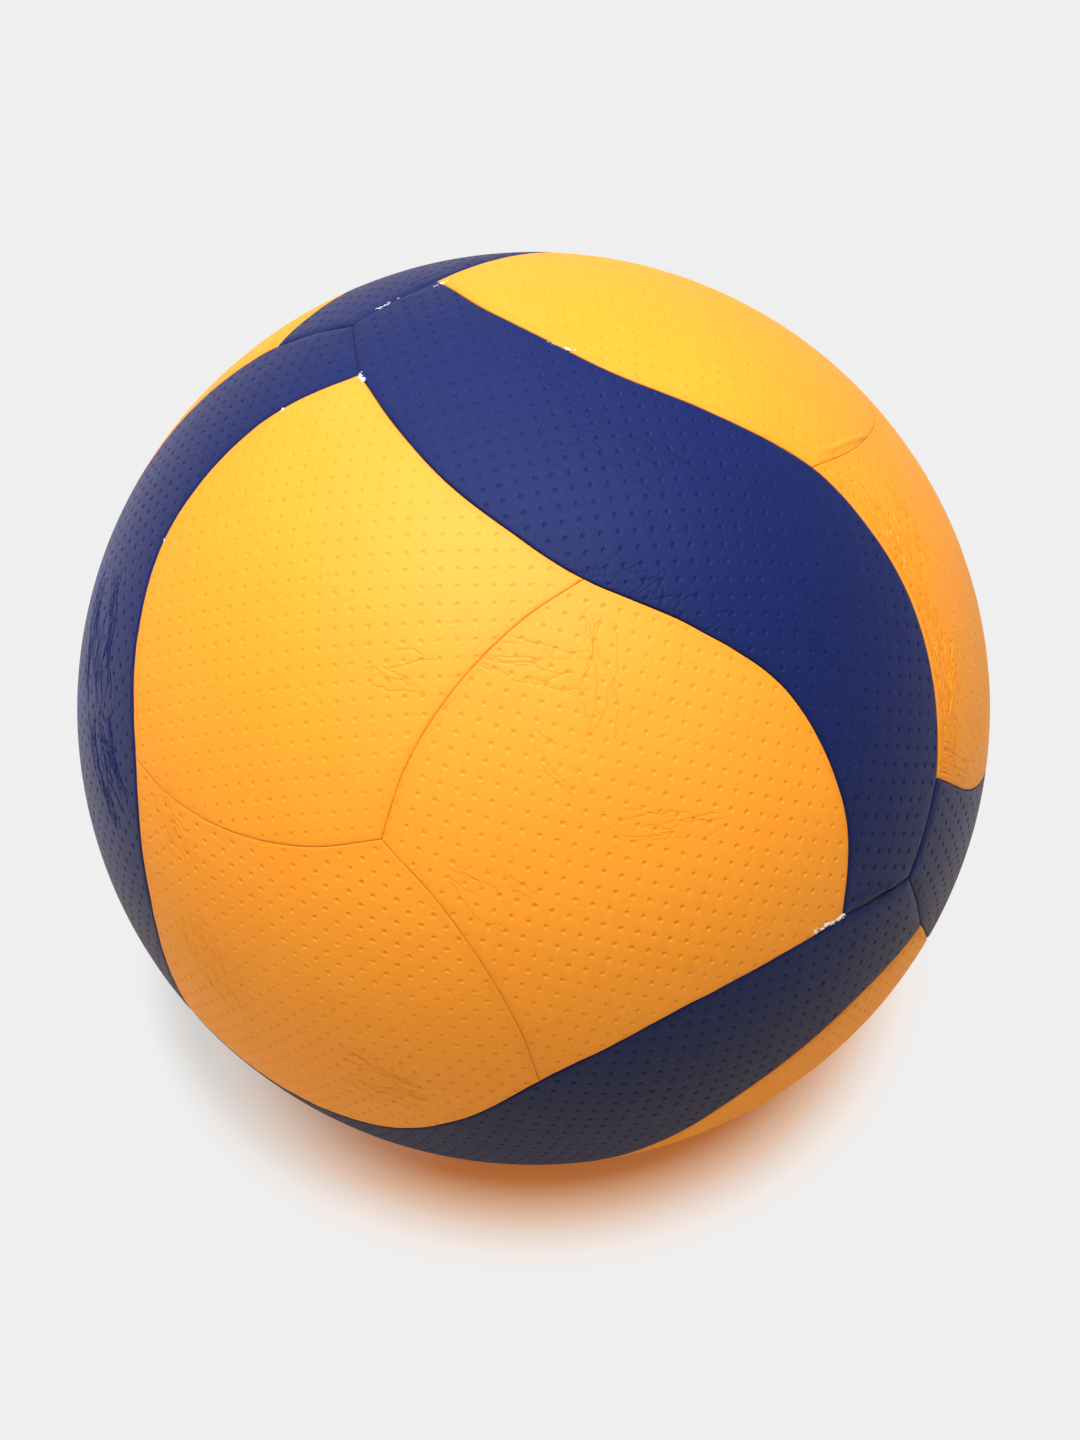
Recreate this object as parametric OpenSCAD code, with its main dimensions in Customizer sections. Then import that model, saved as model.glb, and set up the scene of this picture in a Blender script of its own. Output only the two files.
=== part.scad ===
// Indoor volleyball of 18 panels: four yellow faces, each split into three swirled panels, and
// six blue panels, each an S shaped strip between two faces. The ball lies as it does at rest
// on a floor, with its centre at the origin and +Z up.

/* [Ball] */
// Outside diameter of the inflated ball
ball_d = 210; // [190:1:230]
// Angle that the ball leans about X, as it lies
lean_x_angle = 12.7; // [-180:0.1:180]
// Angle that the ball leans about Y, as it lies
lean_y_angle = 19.3; // [-180:0.1:180]
// Angle that the ball turns about Z, as it lies
turn_z_angle = 8.2; // [-180:0.1:180]

/* [Cover] */
// Thickness of a synthetic leather panel
cover_t = 1.2; // [1:0.1:2]
// Gap between two neighbouring panels at a seam
seam_gap = 0.2; // [0.1:0.05:0.6]
// Width of the rolled edge beside a seam
roll_w = 1.2; // [0.6:0.1:2]
// Depth of the rolled edge at the seam
roll_depth = 0.4; // [0.2:0.05:0.9]

/* [Layers] */
// Thickness of the foam backing under each panel
backing_t = 1.6; // [0.8:0.1:3]
// Thickness of the rubber carcass
carcass_t = 0.6; // [0.4:0.1:1.5]
// Thickness of the nylon thread winding
winding_t = 0.4; // [0.2:0.1:1]
// Thickness of the butyl bladder
bladder_t = 0.6; // [0.4:0.1:1.2]
// Thickness of the glue line between two layers
glue_t = 0.05; // [0.02:0.01:0.15]

/* [Valve] */
// Diameter of the flange that joins the valve housing to the bladder
flange_d = 24; // [16:1:40]
// Thickness of the flange
flange_t = 1.2; // [0.6:0.1:2.5]
// Length of the housing, from its outer end to its inner end
housing_len = 12; // [10:0.5:20]
// Wall of the housing round the head of the core
housing_wall = 1.2; // [0.8:0.1:2.5]
// How far the outer end of the valve lies below the surface of the ball
valve_recess = 0.4; // [0.1:0.1:1]
// Diameter of the head of the core
core_head_d = 4.4; // [4:0.1:7]
// Thickness of the head of the core
core_head_t = 1.2; // [0.6:0.1:2]
// Diameter of the stem of the core
core_stem_d = 3.6; // [3:0.1:3.9]
// Diameter of the foot that locks the core under the housing
core_foot_d = 5; // [4.2:0.1:8]
// Thickness of that foot
core_foot_t = 1.5; // [0.5:0.1:3]
// Diameter of the guide hole for the inflating needle
needle_hole_d = 2; // [1.6:0.1:2.4]
// Depth of the guide hole below the outer end of the core
needle_hole_depth = 8; // [4:0.5:9.5]
// Diameter of the lead-in at the mouth of the guide hole
lead_in_d = 3; // [2.6:0.1:3.8]
// Depth of that lead-in
lead_in_depth = 0.6; // [0.3:0.1:1]
// Clearance of the core in the housing
core_gap = 0.05; // [0.02:0.01:0.15]
// Clearance of the housing in the layers round it
neck_gap = 0.2; // [0.05:0.05:0.5]

/* [Hidden] */
YELLOWS = 12;
BLUES = 6;
VALVE_PANEL_INDEX = 3;
$fn = 180;

ball_r = ball_d / 2;
cover_in_r = ball_r - cover_t;
backing_r = cover_in_r - glue_t;
carcass_r = backing_r - backing_t - glue_t;
winding_r = carcass_r - carcass_t - glue_t;
bladder_r = winding_r - winding_t - glue_t;
flange_r = bladder_r - bladder_t - glue_t;
valve_top = ball_r - valve_recess;
neck_r = core_head_d / 2 + housing_wall;
neck_hole_r = neck_r + neck_gap;

// The wedges that cut the panels from a shell run from inside it to well outside it
wedge_in = ball_r / 2;
wedge_out = ball_r * 3 / 2;

yellow_colour = "#F2A82C";
blue_colour = "#262F6E";
foam_colour = "#E8E6DC";
carcass_colour = "#B79A6B";
thread_colour = "#F2F0E6";
butyl_colour = "#26262A";
core_colour = "#3A3A3E";

// Angle at the ball's centre between the middle of a blue panel and each of its ends
hub_angle = acos(1 / sqrt(3));

// Places on the blue panel whose middle is +Z, along and across it, as shares of hub_angle.
// Its lower edge runs from the left corner, past the foot of a yellow seam, to the right corner.
left_corner_share = [-0.84, -0.157];
foot_share = [-0.085, -0.311];
left_edge_shares = [[-0.66, -0.253], [-0.47, -0.317], [-0.28, -0.332]];
right_edge_shares = [[0.16, -0.208], [0.4, -0.126], [0.7, -0.136]];
// The yellow seam below it runs from the middle of the yellow face up to that foot
face_share = [0, -1];
seam_shares = [[-0.102, -0.84], [-0.135, -0.66], [-0.124, -0.475]];
// Straight steps in each span of a seam
span_steps = 3;

// Half turn k about an axis of the cube whose faces carry the blue panels
function half_turn(v, k) =
    k == 0 ? v :
    k == 1 ? [v.x, -v.y, -v.z] :
    k == 2 ? [-v.x, v.y, -v.z] :
    [-v.x, -v.y, v.z];

// j third turns about a diagonal of that cube
function third_turn(v, j) =
    j == 0 ? v :
    j == 1 ? [v.z, v.x, v.y] :
    [v.y, v.z, v.x];

// One third turn, clockwise, about the middle of the yellow face below the blue panel at +Z
function face_turn(v) = half_turn(third_turn(half_turn(v, 3), 2), 3);

// A list of directions, after half turn k and then j third turns
function placed(dirs, k, j) = [for (v = dirs) third_turn(half_turn(v, k), j)];

function reversed(list) = [for (i = [len(list) - 1 : -1 : 0]) list[i]];
function without_first(list) = [for (i = [1 : len(list) - 1]) list[i]];
function unit(v) = v / norm(v);

// Direction from the ball's centre to a place on the blue panel at +Z
function strip_dir(share) =
    let (along = share.x * hub_angle, across = share.y * hub_angle)
    let (u = cos(across) * sin(along), v = sin(across))
    [(u + v) / sqrt(2), (v - u) / sqrt(2), cos(across) * cos(along)];

// A smooth curve through directions, carried on past both ends by its first and last spans
function smooth_point(a, b, c, d, t) =
    unit((2 * b + (c - a) * t + (2 * a - 5 * b + 4 * c - d) * t ^ 2 + (3 * b - a - 3 * c + d) * t ^ 3) / 2);
function smooth_curve(dirs) =
    let (last = len(dirs) - 1)
    let (all = concat([2 * dirs[0] - dirs[1]], dirs, [2 * dirs[last] - dirs[last - 1]]))
    concat(
        [for (i = [1 : last], s = [0 : span_steps - 1])
            smooth_point(all[i - 1], all[i], all[i + 1], all[i + 2], s / span_steps)],
        [dirs[last]]
    );

left_corner = strip_dir(left_corner_share);
right_corner = face_turn(left_corner);
left_end = unit([-1, 1, 1]);
right_end = unit([1, -1, 1]);
foot = strip_dir(foot_share);
edge_places = concat(
    [left_corner],
    [for (s = left_edge_shares) strip_dir(s)],
    [foot],
    [for (s = right_edge_shares) strip_dir(s)],
    [right_corner]
);
edge = smooth_curve(edge_places);
foot_step = span_steps * (len(left_edge_shares) + 1);
edge_to_foot = [for (i = [0 : foot_step]) edge[i]];
edge_from_foot = [for (i = [foot_step : len(edge) - 1]) edge[i]];
face_seam = smooth_curve(concat([strip_dir(face_share)], [for (s = seam_shares) strip_dir(s)], [foot]));

// Each outline is its two sides, from one end of the panel to the other, clockwise from outside
yellow_first_side = concat(face_seam, without_first(edge_from_foot));
yellow_back_side = concat(face_seam, without_first(reversed(edge_to_foot)));
yellow_sides = [yellow_first_side, [for (v = yellow_back_side) face_turn(v)]];
blue_low_side = concat([left_end], edge, [right_end]);
blue_sides = [reversed(placed(blue_low_side, 3, 0)), blue_low_side];

function yellow_outline(i) = [for (s = yellow_sides) placed(s, i % 4, floor(i / 4))];
function blue_outline(i) = [for (s = blue_sides) placed(s, floor(i / 3), i % 3)];

// A closed wedge over an outline. Each ring is its distance from the centre and its inset from
// the seam. The walls stay square to the seam line, so the gap keeps its width at any depth.
module wedge(sides, rings) {
    steps = len(sides[0]) - 1;
    count = 2 * steps;
    loop = concat(sides[0], [for (i = [steps - 1 : -1 : 1]) sides[1][i]]);
    normals = [for (i = [0 : count - 1]) unit(cross(loop[(i + 1) % count], loop[i]))];
    insets = [for (i = [0 : count - 1])
        let (a = normals[(i + count - 1) % count], b = normals[i])
        (a + b) / (1 + a * b)];
    top = (len(rings) - 1) * count;
    points = [for (r = rings, i = [0 : count - 1]) loop[i] * r[0] + insets[i] * r[1]];
    walls = [for (r = [0 : len(rings) - 2], i = [0 : count - 1])
        let (a = r * count + i, b = r * count + (i + 1) % count)
        each [[a, b, b + count], [a, b + count, a + count]]];
    ladder = concat(
        [[0, 1, count - 1]],
        [for (i = [1 : steps - 2]) each [[i, i + 1, count - i], [i + 1, count - i - 1, count - i]]],
        [[steps - 1, steps, steps + 1]]
    );
    lids = [for (t = ladder) each [[t[2], t[1], t[0]], [t[0] + top, t[1] + top, t[2] + top]]];
    polyhedron(points, concat(walls, lids));
}

module lying() {
    rotate([lean_x_angle, lean_y_angle, turn_z_angle]) children();
}

// Puts +Z on the outward axis of the valve, in the middle of its blue panel
module at_valve() {
    rotate([-90, 0, 0]) children();
}

module shell(outer_r, thickness) {
    difference() {
        sphere(r = outer_r);
        sphere(r = outer_r - thickness);
    }
}

module neck_hole() {
    at_valve() translate([0, 0, wedge_in]) cylinder(r = neck_hole_r, h = wedge_out - wedge_in);
}

// A cover panel, with its outer edge rolled down to the seam
module cover_panel(sides) {
    intersection() {
        shell(ball_r, cover_t);
        wedge(sides, [
            [wedge_in, seam_gap / 2],
            [ball_r - roll_depth, seam_gap / 2],
            [ball_r + roll_depth / 2, seam_gap / 2 + roll_w * 3 / 2],
            [wedge_out, seam_gap / 2 + roll_w * 3 / 2]
        ]);
    }
}

module backing_panel(sides) {
    intersection() {
        shell(backing_r, backing_t);
        wedge(sides, [[wedge_in, seam_gap / 2], [wedge_out, seam_gap / 2]]);
    }
}

// Takes the hole for the valve out of the panel that carries it
module for_valve(panel) {
    difference() {
        children();
        if (panel == VALVE_PANEL_INDEX) neck_hole();
    }
}

module yellow_panel(i) {
    color(yellow_colour) lying() cover_panel(yellow_outline(i - 1));
}

module blue_panel(i) {
    color(blue_colour) lying() for_valve(i) cover_panel(blue_outline(i - 1));
}

module yellow_backing(i) {
    color(foam_colour) lying() backing_panel(yellow_outline(i - 1));
}

module blue_backing(i) {
    color(foam_colour) lying() for_valve(i) backing_panel(blue_outline(i - 1));
}

module pierced_layer(outer_r, thickness) {
    lying() difference() {
        shell(outer_r, thickness);
        neck_hole();
    }
}

module carcass() {
    color(carcass_colour) pierced_layer(carcass_r, carcass_t);
}

module thread_winding() {
    color(thread_colour) pierced_layer(winding_r, winding_t);
}

module bladder() {
    color(butyl_colour) pierced_layer(bladder_r, bladder_t);
}

// Rubber housing: a neck through the layers, and a curved flange inside the bladder
module valve_housing() {
    color(butyl_colour) lying() at_valve() difference() {
        union() {
            translate([0, 0, valve_top - housing_len]) cylinder(r = neck_r, h = housing_len);
            intersection() {
                shell(flange_r, flange_t);
                translate([0, 0, wedge_in]) cylinder(r = flange_d / 2, h = ball_r - wedge_in);
            }
        }
        translate([0, 0, wedge_in]) cylinder(r = core_stem_d / 2 + core_gap, h = ball_r - wedge_in);
        translate([0, 0, valve_top - core_head_t]) cylinder(r = core_head_d / 2 + core_gap, h = ball_r);
    }
}

// Rubber core: a head in the mouth of the housing, a stem, and a foot under its inner end
module valve_core() {
    foot_top = valve_top - housing_len;
    color(core_colour) lying() at_valve() difference() {
        union() {
            translate([0, 0, valve_top - core_head_t]) cylinder(r = core_head_d / 2, h = core_head_t);
            translate([0, 0, foot_top]) cylinder(r = core_stem_d / 2, h = housing_len - core_head_t);
            translate([0, 0, foot_top - core_foot_t]) cylinder(r = core_foot_d / 2, h = core_foot_t);
        }
        translate([0, 0, valve_top - needle_hole_depth]) cylinder(r = needle_hole_d / 2, h = ball_r);
        translate([0, 0, valve_top - lead_in_depth])
            cylinder(r1 = needle_hole_d / 2, r2 = lead_in_d / 2, h = lead_in_depth);
    }
}

for (i = [1 : YELLOWS]) {
    yellow_panel(i);
    yellow_backing(i);
}
for (i = [1 : BLUES]) {
    blue_panel(i);
    blue_backing(i);
}
carcass();
thread_winding();
bladder();
valve_housing();
valve_core();
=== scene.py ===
"""Dresses a packed indoor volleyball: leather panels, seams, valve, inner layers and a studio.

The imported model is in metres. The leather is shaped in millimetres, in the cube's own frame whose
faces carry the blue panels, and is then turned as the ball lies.
"""

import logging
import math
from dataclasses import dataclass, field
from enum import Enum
from typing import Any, Callable, Iterable, Sequence

import bpy
import numpy as np
from mathutils import Euler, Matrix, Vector
from mathutils.geometry import delaunay_2d_cdt


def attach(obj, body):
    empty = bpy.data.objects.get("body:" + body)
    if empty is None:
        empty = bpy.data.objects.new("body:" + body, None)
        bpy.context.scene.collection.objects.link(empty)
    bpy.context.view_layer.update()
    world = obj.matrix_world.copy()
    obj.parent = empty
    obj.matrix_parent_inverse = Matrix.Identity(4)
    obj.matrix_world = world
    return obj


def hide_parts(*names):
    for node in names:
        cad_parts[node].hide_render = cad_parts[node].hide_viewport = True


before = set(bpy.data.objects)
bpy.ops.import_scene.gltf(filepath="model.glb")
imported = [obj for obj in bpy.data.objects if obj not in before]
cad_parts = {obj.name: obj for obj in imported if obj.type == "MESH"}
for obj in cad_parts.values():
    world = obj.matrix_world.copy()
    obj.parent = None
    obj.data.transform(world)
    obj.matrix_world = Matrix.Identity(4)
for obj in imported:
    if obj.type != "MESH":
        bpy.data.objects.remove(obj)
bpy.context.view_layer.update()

log = logging.getLogger("volleyball")

MM = 0.001
BALL_RADIUS = 0.105
CHUNK_ROWS = 4000
SHARP_ANGLE = math.radians(62)
TINY = 1e-12
Share = tuple[float, float]
Array = np.ndarray
Tree = bpy.types.NodeTree
Socket = bpy.types.NodeSocket


def unit(vectors: Array) -> Array:
    """Vectors brought to length one.

    Args:
        vectors: One vector, or one a row.

    Returns:
        The same directions, each of length one.
    """
    return vectors / np.linalg.norm(vectors, axis=-1, keepdims=True)


def smooth_step(values: Array) -> Array:
    """Values cut to 0..1 and eased at both ends."""
    cut = np.clip(values, 0.0, 1.0)
    return cut * cut * (3.0 - 2.0 * cut)


def closed_pairs(count: int, first: int = 0) -> list[tuple[int, int]]:
    """Each index of a closed loop with the one after it."""
    return [(first + i, first + (i + 1) % count) for i in range(count)]


def band(count: int, step: int, first: int = 0) -> list[tuple[int, int, int]]:
    """Triangles between a closed loop of points and the loop across from it.

    Args:
        count: Points in the loop.
        step: From the index of a point to that of the one across from it.
        first: Index of the loop's first point.

    Returns:
        Two triangles for each pair of neighbours.
    """
    made = []
    for i, j in closed_pairs(count, first):
        made += [(i, j, step + j), (i, step + j, step + i)]
    return made


def chunks(rows: int) -> list[slice]:
    """Slices that cover a number of rows, each short enough to keep the memory small."""
    return [slice(start, start + CHUNK_ROWS) for start in range(0, rows, CHUNK_ROWS)]


def circle(count: int) -> Array:
    """Places evenly round a circle of radius one, one a row."""
    turns = np.linspace(0, 2 * math.pi, count, endpoint=False)
    return np.stack([np.cos(turns), np.sin(turns)], axis=1)


def bearing(turn: float) -> Array:
    """The direction on a map at an angle in radians."""
    return np.array([math.cos(turn), math.sin(turn)])


def set_out(middle: Share, along: float, across: float, degrees: float) -> Array:
    """A place on a map, set out from another one along and across a line.

    Args:
        middle: The other place.
        along: Distance along the line.
        across: Distance across it.
        degrees: From the map's first axis to the line.

    Returns:
        The place.
    """
    cos, sin = bearing(math.radians(degrees))
    return np.array(middle) + np.array([along * cos - across * sin, along * sin + across * cos])


def lengths_along(path: Array) -> Array:
    """How far along a path each of its places lies."""
    return np.concatenate([[0.0], np.cumsum(np.linalg.norm(np.diff(path, axis=0), axis=1))])


def places_along(path: Array, lengths: Array, at: Array) -> Array:
    """Places at distances along a path, one a row."""
    return np.stack([np.interp(at, lengths, column) for column in path.T], axis=1)


def inside(loops: Sequence[Array], places: Array) -> Array:
    """Whether places lie inside the first loop and outside the others.

    Args:
        loops: Closed loops, one point a row.
        places: The places, one a row.

    Returns:
        True where a line from the place crosses the loops an odd number of times.
    """
    here = np.vstack(loops).T
    after = np.vstack([np.roll(loop, -1, axis=0) for loop in loops]).T
    rise = np.where(after[1] == here[1], 1.0, after[1] - here[1])
    found = []
    for part in chunks(len(places)):
        x, y = places[part].T[:, :, None]
        spans = (here[1] > y) != (after[1] > y)
        crossing = here[0] + (y - here[1]) * (after[0] - here[0]) / rise
        found.append((spans & (x < crossing)).sum(1) % 2 == 1)
    return np.concatenate(found)


class Seam(Enum):
    """What two leathers meet at a seam."""

    YELLOW_YELLOW = "yellow with yellow"
    YELLOW_BLUE = "yellow with blue"
    BLUE_BLUE = "blue with blue"


class Kind(Enum):
    """The two shapes of panel."""

    YELLOW = "yellow"
    BLUE = "blue"


@dataclass(frozen=True)
class Arc:
    """One smooth stretch of a panel's outline.

    Attributes:
        seam: What leathers meet there.
        dirs: Directions along it, one a row.
    """

    seam: Seam
    dirs: Array

    def back(self) -> "Arc":
        """The same stretch, run the other way."""
        return Arc(self.seam, self.dirs[::-1])

    def turned(self, turn: Callable[[Array], Array]) -> "Arc":
        """The same stretch after a turn of the cube."""
        return Arc(self.seam, turn(self.dirs))


@dataclass(frozen=True)
class SeamPattern:
    """The seams of the cover. Places are shares of hub_angle, along and across the top blue panel.

    Attributes:
        left_corner_share: Where the left tip of a yellow face meets two blue panels.
        foot_share: Where a yellow seam meets the blue panel.
        left_edge_shares: The blue edge between the left corner and the foot.
        right_edge_shares: The blue edge between the foot and the right corner.
        face_share: The middle of the yellow face.
        seam_shares: The yellow seam between that middle and the foot.
        span_steps: Steps in each span between two of those places.
    """

    left_corner_share: Share = (-0.84, -0.157)
    foot_share: Share = (-0.085, -0.311)
    left_edge_shares: tuple[Share, ...] = ((-0.66, -0.253), (-0.47, -0.317), (-0.28, -0.332))
    right_edge_shares: tuple[Share, ...] = ((0.16, -0.208), (0.4, -0.126), (0.7, -0.136))
    face_share: Share = (0.0, -1.0)
    seam_shares: tuple[Share, ...] = ((-0.102, -0.84), (-0.135, -0.66), (-0.124, -0.475))
    span_steps: int = 16

    @property
    def hub_angle(self) -> float:
        """Angle from the middle of a blue panel to each of its ends."""
        return math.acos(1.0 / math.sqrt(3.0))

    @staticmethod
    def half_turn(dirs: Array, k: int) -> Array:
        """Half turn k about an axis of the cube, none for 0."""
        return dirs * np.array([[1, 1, 1], [1, -1, -1], [-1, 1, -1], [-1, -1, 1]][k])

    @staticmethod
    def third_turn(dirs: Array, j: int) -> Array:
        """j third turns about a diagonal of the cube."""
        return np.roll(dirs, j, axis=-1)

    def face_turn(self, dirs: Array) -> Array:
        """One third turn about the middle of the yellow face below the blue panel at +Z."""
        return self.half_turn(self.third_turn(self.half_turn(dirs, 3), 2), 3)

    def strip_dir(self, share: Share) -> Array:
        """Direction to a place on the blue panel at +Z.

        Args:
            share: The place along and across the panel.

        Returns:
            A direction from the ball's centre.
        """
        along, across = share[0] * self.hub_angle, share[1] * self.hub_angle
        u, v = math.cos(across) * math.sin(along), math.sin(across)
        up = math.cos(across) * math.cos(along)
        return np.array([(u + v) / math.sqrt(2), (v - u) / math.sqrt(2), up])

    def smooth_curve(self, dirs: Array) -> Array:
        """A smooth curve (Catmull-Rom) through directions.

        Args:
            dirs: The directions, one a row.

        Returns:
            Directions along the curve, with span_steps steps between two of those given.
        """
        ends = np.vstack([2 * dirs[0] - dirs[1], dirs, 2 * dirs[-1] - dirs[-2]])
        steps = np.arange(self.span_steps)[:, None] / self.span_steps
        spans = []
        for a, b, c, d in zip(ends, ends[1:], ends[2:], ends[3:]):
            square, cube = 2 * a - 5 * b + 4 * c - d, 3 * b - a - 3 * c + d
            spans.append(unit(2 * b + (c - a) * steps + square * steps**2 + cube * steps**3))
        return np.vstack([*spans, dirs[-1:]])

    def arcs(self, kind: Kind) -> list[Arc]:
        """The outline of the first panel of a kind, clockwise seen from outside.

        Args:
            kind: Which shape of panel.

        Returns:
            Its smooth stretches in order, each ending where the next begins.
        """
        left_corner, foot = self.strip_dir(self.left_corner_share), self.strip_dir(self.foot_share)
        right_corner = self.face_turn(left_corner)
        left = [self.strip_dir(s) for s in self.left_edge_shares]
        right = [self.strip_dir(s) for s in self.right_edge_shares]
        edge = self.smooth_curve(np.array([left_corner, *left, foot, *right, right_corner]))
        foot_step = self.span_steps * (len(left) + 1)
        inner = [self.strip_dir(self.face_share), *[self.strip_dir(s) for s in self.seam_shares], foot]
        seam = Arc(Seam.YELLOW_YELLOW, self.smooth_curve(np.array(inner)))
        if kind is Kind.YELLOW:
            to_foot = Arc(Seam.YELLOW_BLUE, edge[: foot_step + 1])
            from_foot = Arc(Seam.YELLOW_BLUE, edge[foot_step:])
            return [seam, from_foot, to_foot.turned(self.face_turn), seam.turned(self.face_turn).back()]
        low = [
            Arc(Seam.BLUE_BLUE, np.array([unit(np.array([-1.0, 1.0, 1.0])), left_corner])),
            Arc(Seam.YELLOW_BLUE, edge),
            Arc(Seam.BLUE_BLUE, np.array([right_corner, unit(np.array([1.0, -1.0, 1.0]))])),
        ]
        far = [arc.turned(lambda dirs: self.half_turn(dirs, 3)).back() for arc in low[::-1]]
        return far + [arc.back() for arc in low[::-1]]

    def place(self, kind: Kind, index: int) -> Array:
        """The turn of the cube that takes the first panel of a kind to another one.

        Args:
            kind: Which shape of panel.
            index: Which panel, counted from 0.

        Returns:
            A 3 by 3 matrix for rows of vectors, used as vectors @ matrix.
        """
        half, third = (index % 4, index // 4) if kind is Kind.YELLOW else (index // 3, index % 3)
        return self.third_turn(self.half_turn(np.eye(3), half), third)


@dataclass(frozen=True)
class RoundChart:
    """A map with true distances from the middle of the panel, for the rounded yellow panels.

    Attributes:
        middle: Direction to the middle of the map.
        right: Direction of the map's first axis there.
        radius: Radius of the ball in millimetres.
    """

    middle: Array
    right: Array
    radius: float

    def to_flat(self, dirs: Array) -> Array:
        """Places on the map of directions.

        Args:
            dirs: The directions, one a row.

        Returns:
            The places in millimetres, one a row.
        """
        x, y = dirs @ self.right, dirs @ np.cross(self.middle, self.right)
        side = np.hypot(x, y)
        reach = self.radius * np.arctan2(side, dirs @ self.middle) / np.maximum(side, TINY)
        return np.stack([x * reach, y * reach], axis=1)

    def to_dirs(self, flat: Array) -> Array:
        """Directions of places on the map.

        Args:
            flat: The places in millimetres, one a row.

        Returns:
            The directions, one a row.
        """
        reach = np.linalg.norm(flat, axis=1)
        turn = flat / np.maximum(reach, TINY)[:, None]
        sideways = turn[:, :1] * self.right + turn[:, 1:] * np.cross(self.middle, self.right)
        angle = (reach / self.radius)[:, None]
        return np.cos(angle) * self.middle + np.sin(angle) * sideways


@dataclass(frozen=True)
class StripChart:
    """A map with true distances along the middle line of the panel, for the long blue panels.

    Attributes:
        along: Direction of the panel's length.
        across: Direction of its width.
        radius: Radius of the ball in millimetres.
    """

    along: Array
    across: Array
    radius: float

    def to_flat(self, dirs: Array) -> Array:
        """Places on the map of directions.

        Args:
            dirs: The directions, one a row.

        Returns:
            The places in millimetres, one a row.
        """
        up = dirs @ np.cross(self.along, self.across)
        x = np.arctan2(dirs @ self.along, up)
        y = np.arcsin(np.clip(dirs @ self.across, -1.0, 1.0))
        return self.radius * np.stack([x, y], axis=1)

    def to_dirs(self, flat: Array) -> Array:
        """Directions of places on the map.

        Args:
            flat: The places in millimetres, one a row.

        Returns:
            The directions, one a row.
        """
        x, y = flat[:, :1] / self.radius, flat[:, 1:] / self.radius
        up = np.cross(self.along, self.across)
        return np.cos(y) * (np.sin(x) * self.along + np.cos(x) * up) + np.sin(y) * self.across


Chart = RoundChart | StripChart


@dataclass(frozen=True)
class Roll:
    """How the leather rolls down to a seam, in millimetres.

    Attributes:
        width: Width of the rolled edge.
        depth: How far the edge lies below the ball.
        gap: Distance to the next leather.
    """

    width: float
    depth: float
    gap: float


ROLLS: dict[Seam, Roll] = {
    Seam.YELLOW_YELLOW: Roll(width=0.8, depth=0.2, gap=0.07),
    Seam.YELLOW_BLUE: Roll(width=0.9, depth=0.34, gap=0.2),
    Seam.BLUE_BLUE: Roll(width=3.0, depth=0.6, gap=0.06),
}
HOLE_ROLL = Roll(width=1.1, depth=0.35, gap=0.0)


@dataclass(frozen=True)
class Dimples:
    """The pressed dimples of a panel: a square pattern of shallow round bowls, in millimetres.

    Attributes:
        angle: Degrees from the chart's first axis to the pattern's.
        shift: Where a dimple lies, along the pattern's two axes.
        pitch: Distance between neighbours.
        radius: Radius at the rim.
        depth: Depth in the middle.
        flatness: Exponent of the bowl, where 2 is round and more is flatter in the middle.
    """

    angle: float
    shift: tuple[float, float] = (0.0, 0.0)
    pitch: float = 3.8
    radius: float = 0.67
    depth: float = 0.18
    flatness: float = 2.6

    @property
    def axes(self) -> Array:
        """The pattern's two axes, one a row."""
        turn = math.radians(self.angle)
        return np.array([[math.cos(turn), math.sin(turn)], [-math.sin(turn), math.cos(turn)]])

    def lattice(self, reach: float, half_step: Share = (0.0, 0.0)) -> Array:
        """Every place of the pattern within reach of the map's middle.

        Args:
            reach: How far the pattern runs from the middle.
            half_step: A share of the pitch to add along each axis.

        Returns:
            Places on the map, one a row.
        """
        count = int(reach / self.pitch) + 1
        steps = np.arange(-count, count + 1)
        i, j = (g.ravel() for g in np.meshgrid(steps, steps))
        places = np.array(self.shift) + (np.stack([i, j], axis=1) + half_step) * self.pitch
        return places @ self.axes

    def offset(self, flat: Array) -> Array:
        """From the nearest dimple's centre to each place, along the pattern's axes."""
        at = flat @ self.axes.T - np.array(self.shift)
        return at - self.pitch * np.round(at / self.pitch)


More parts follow.
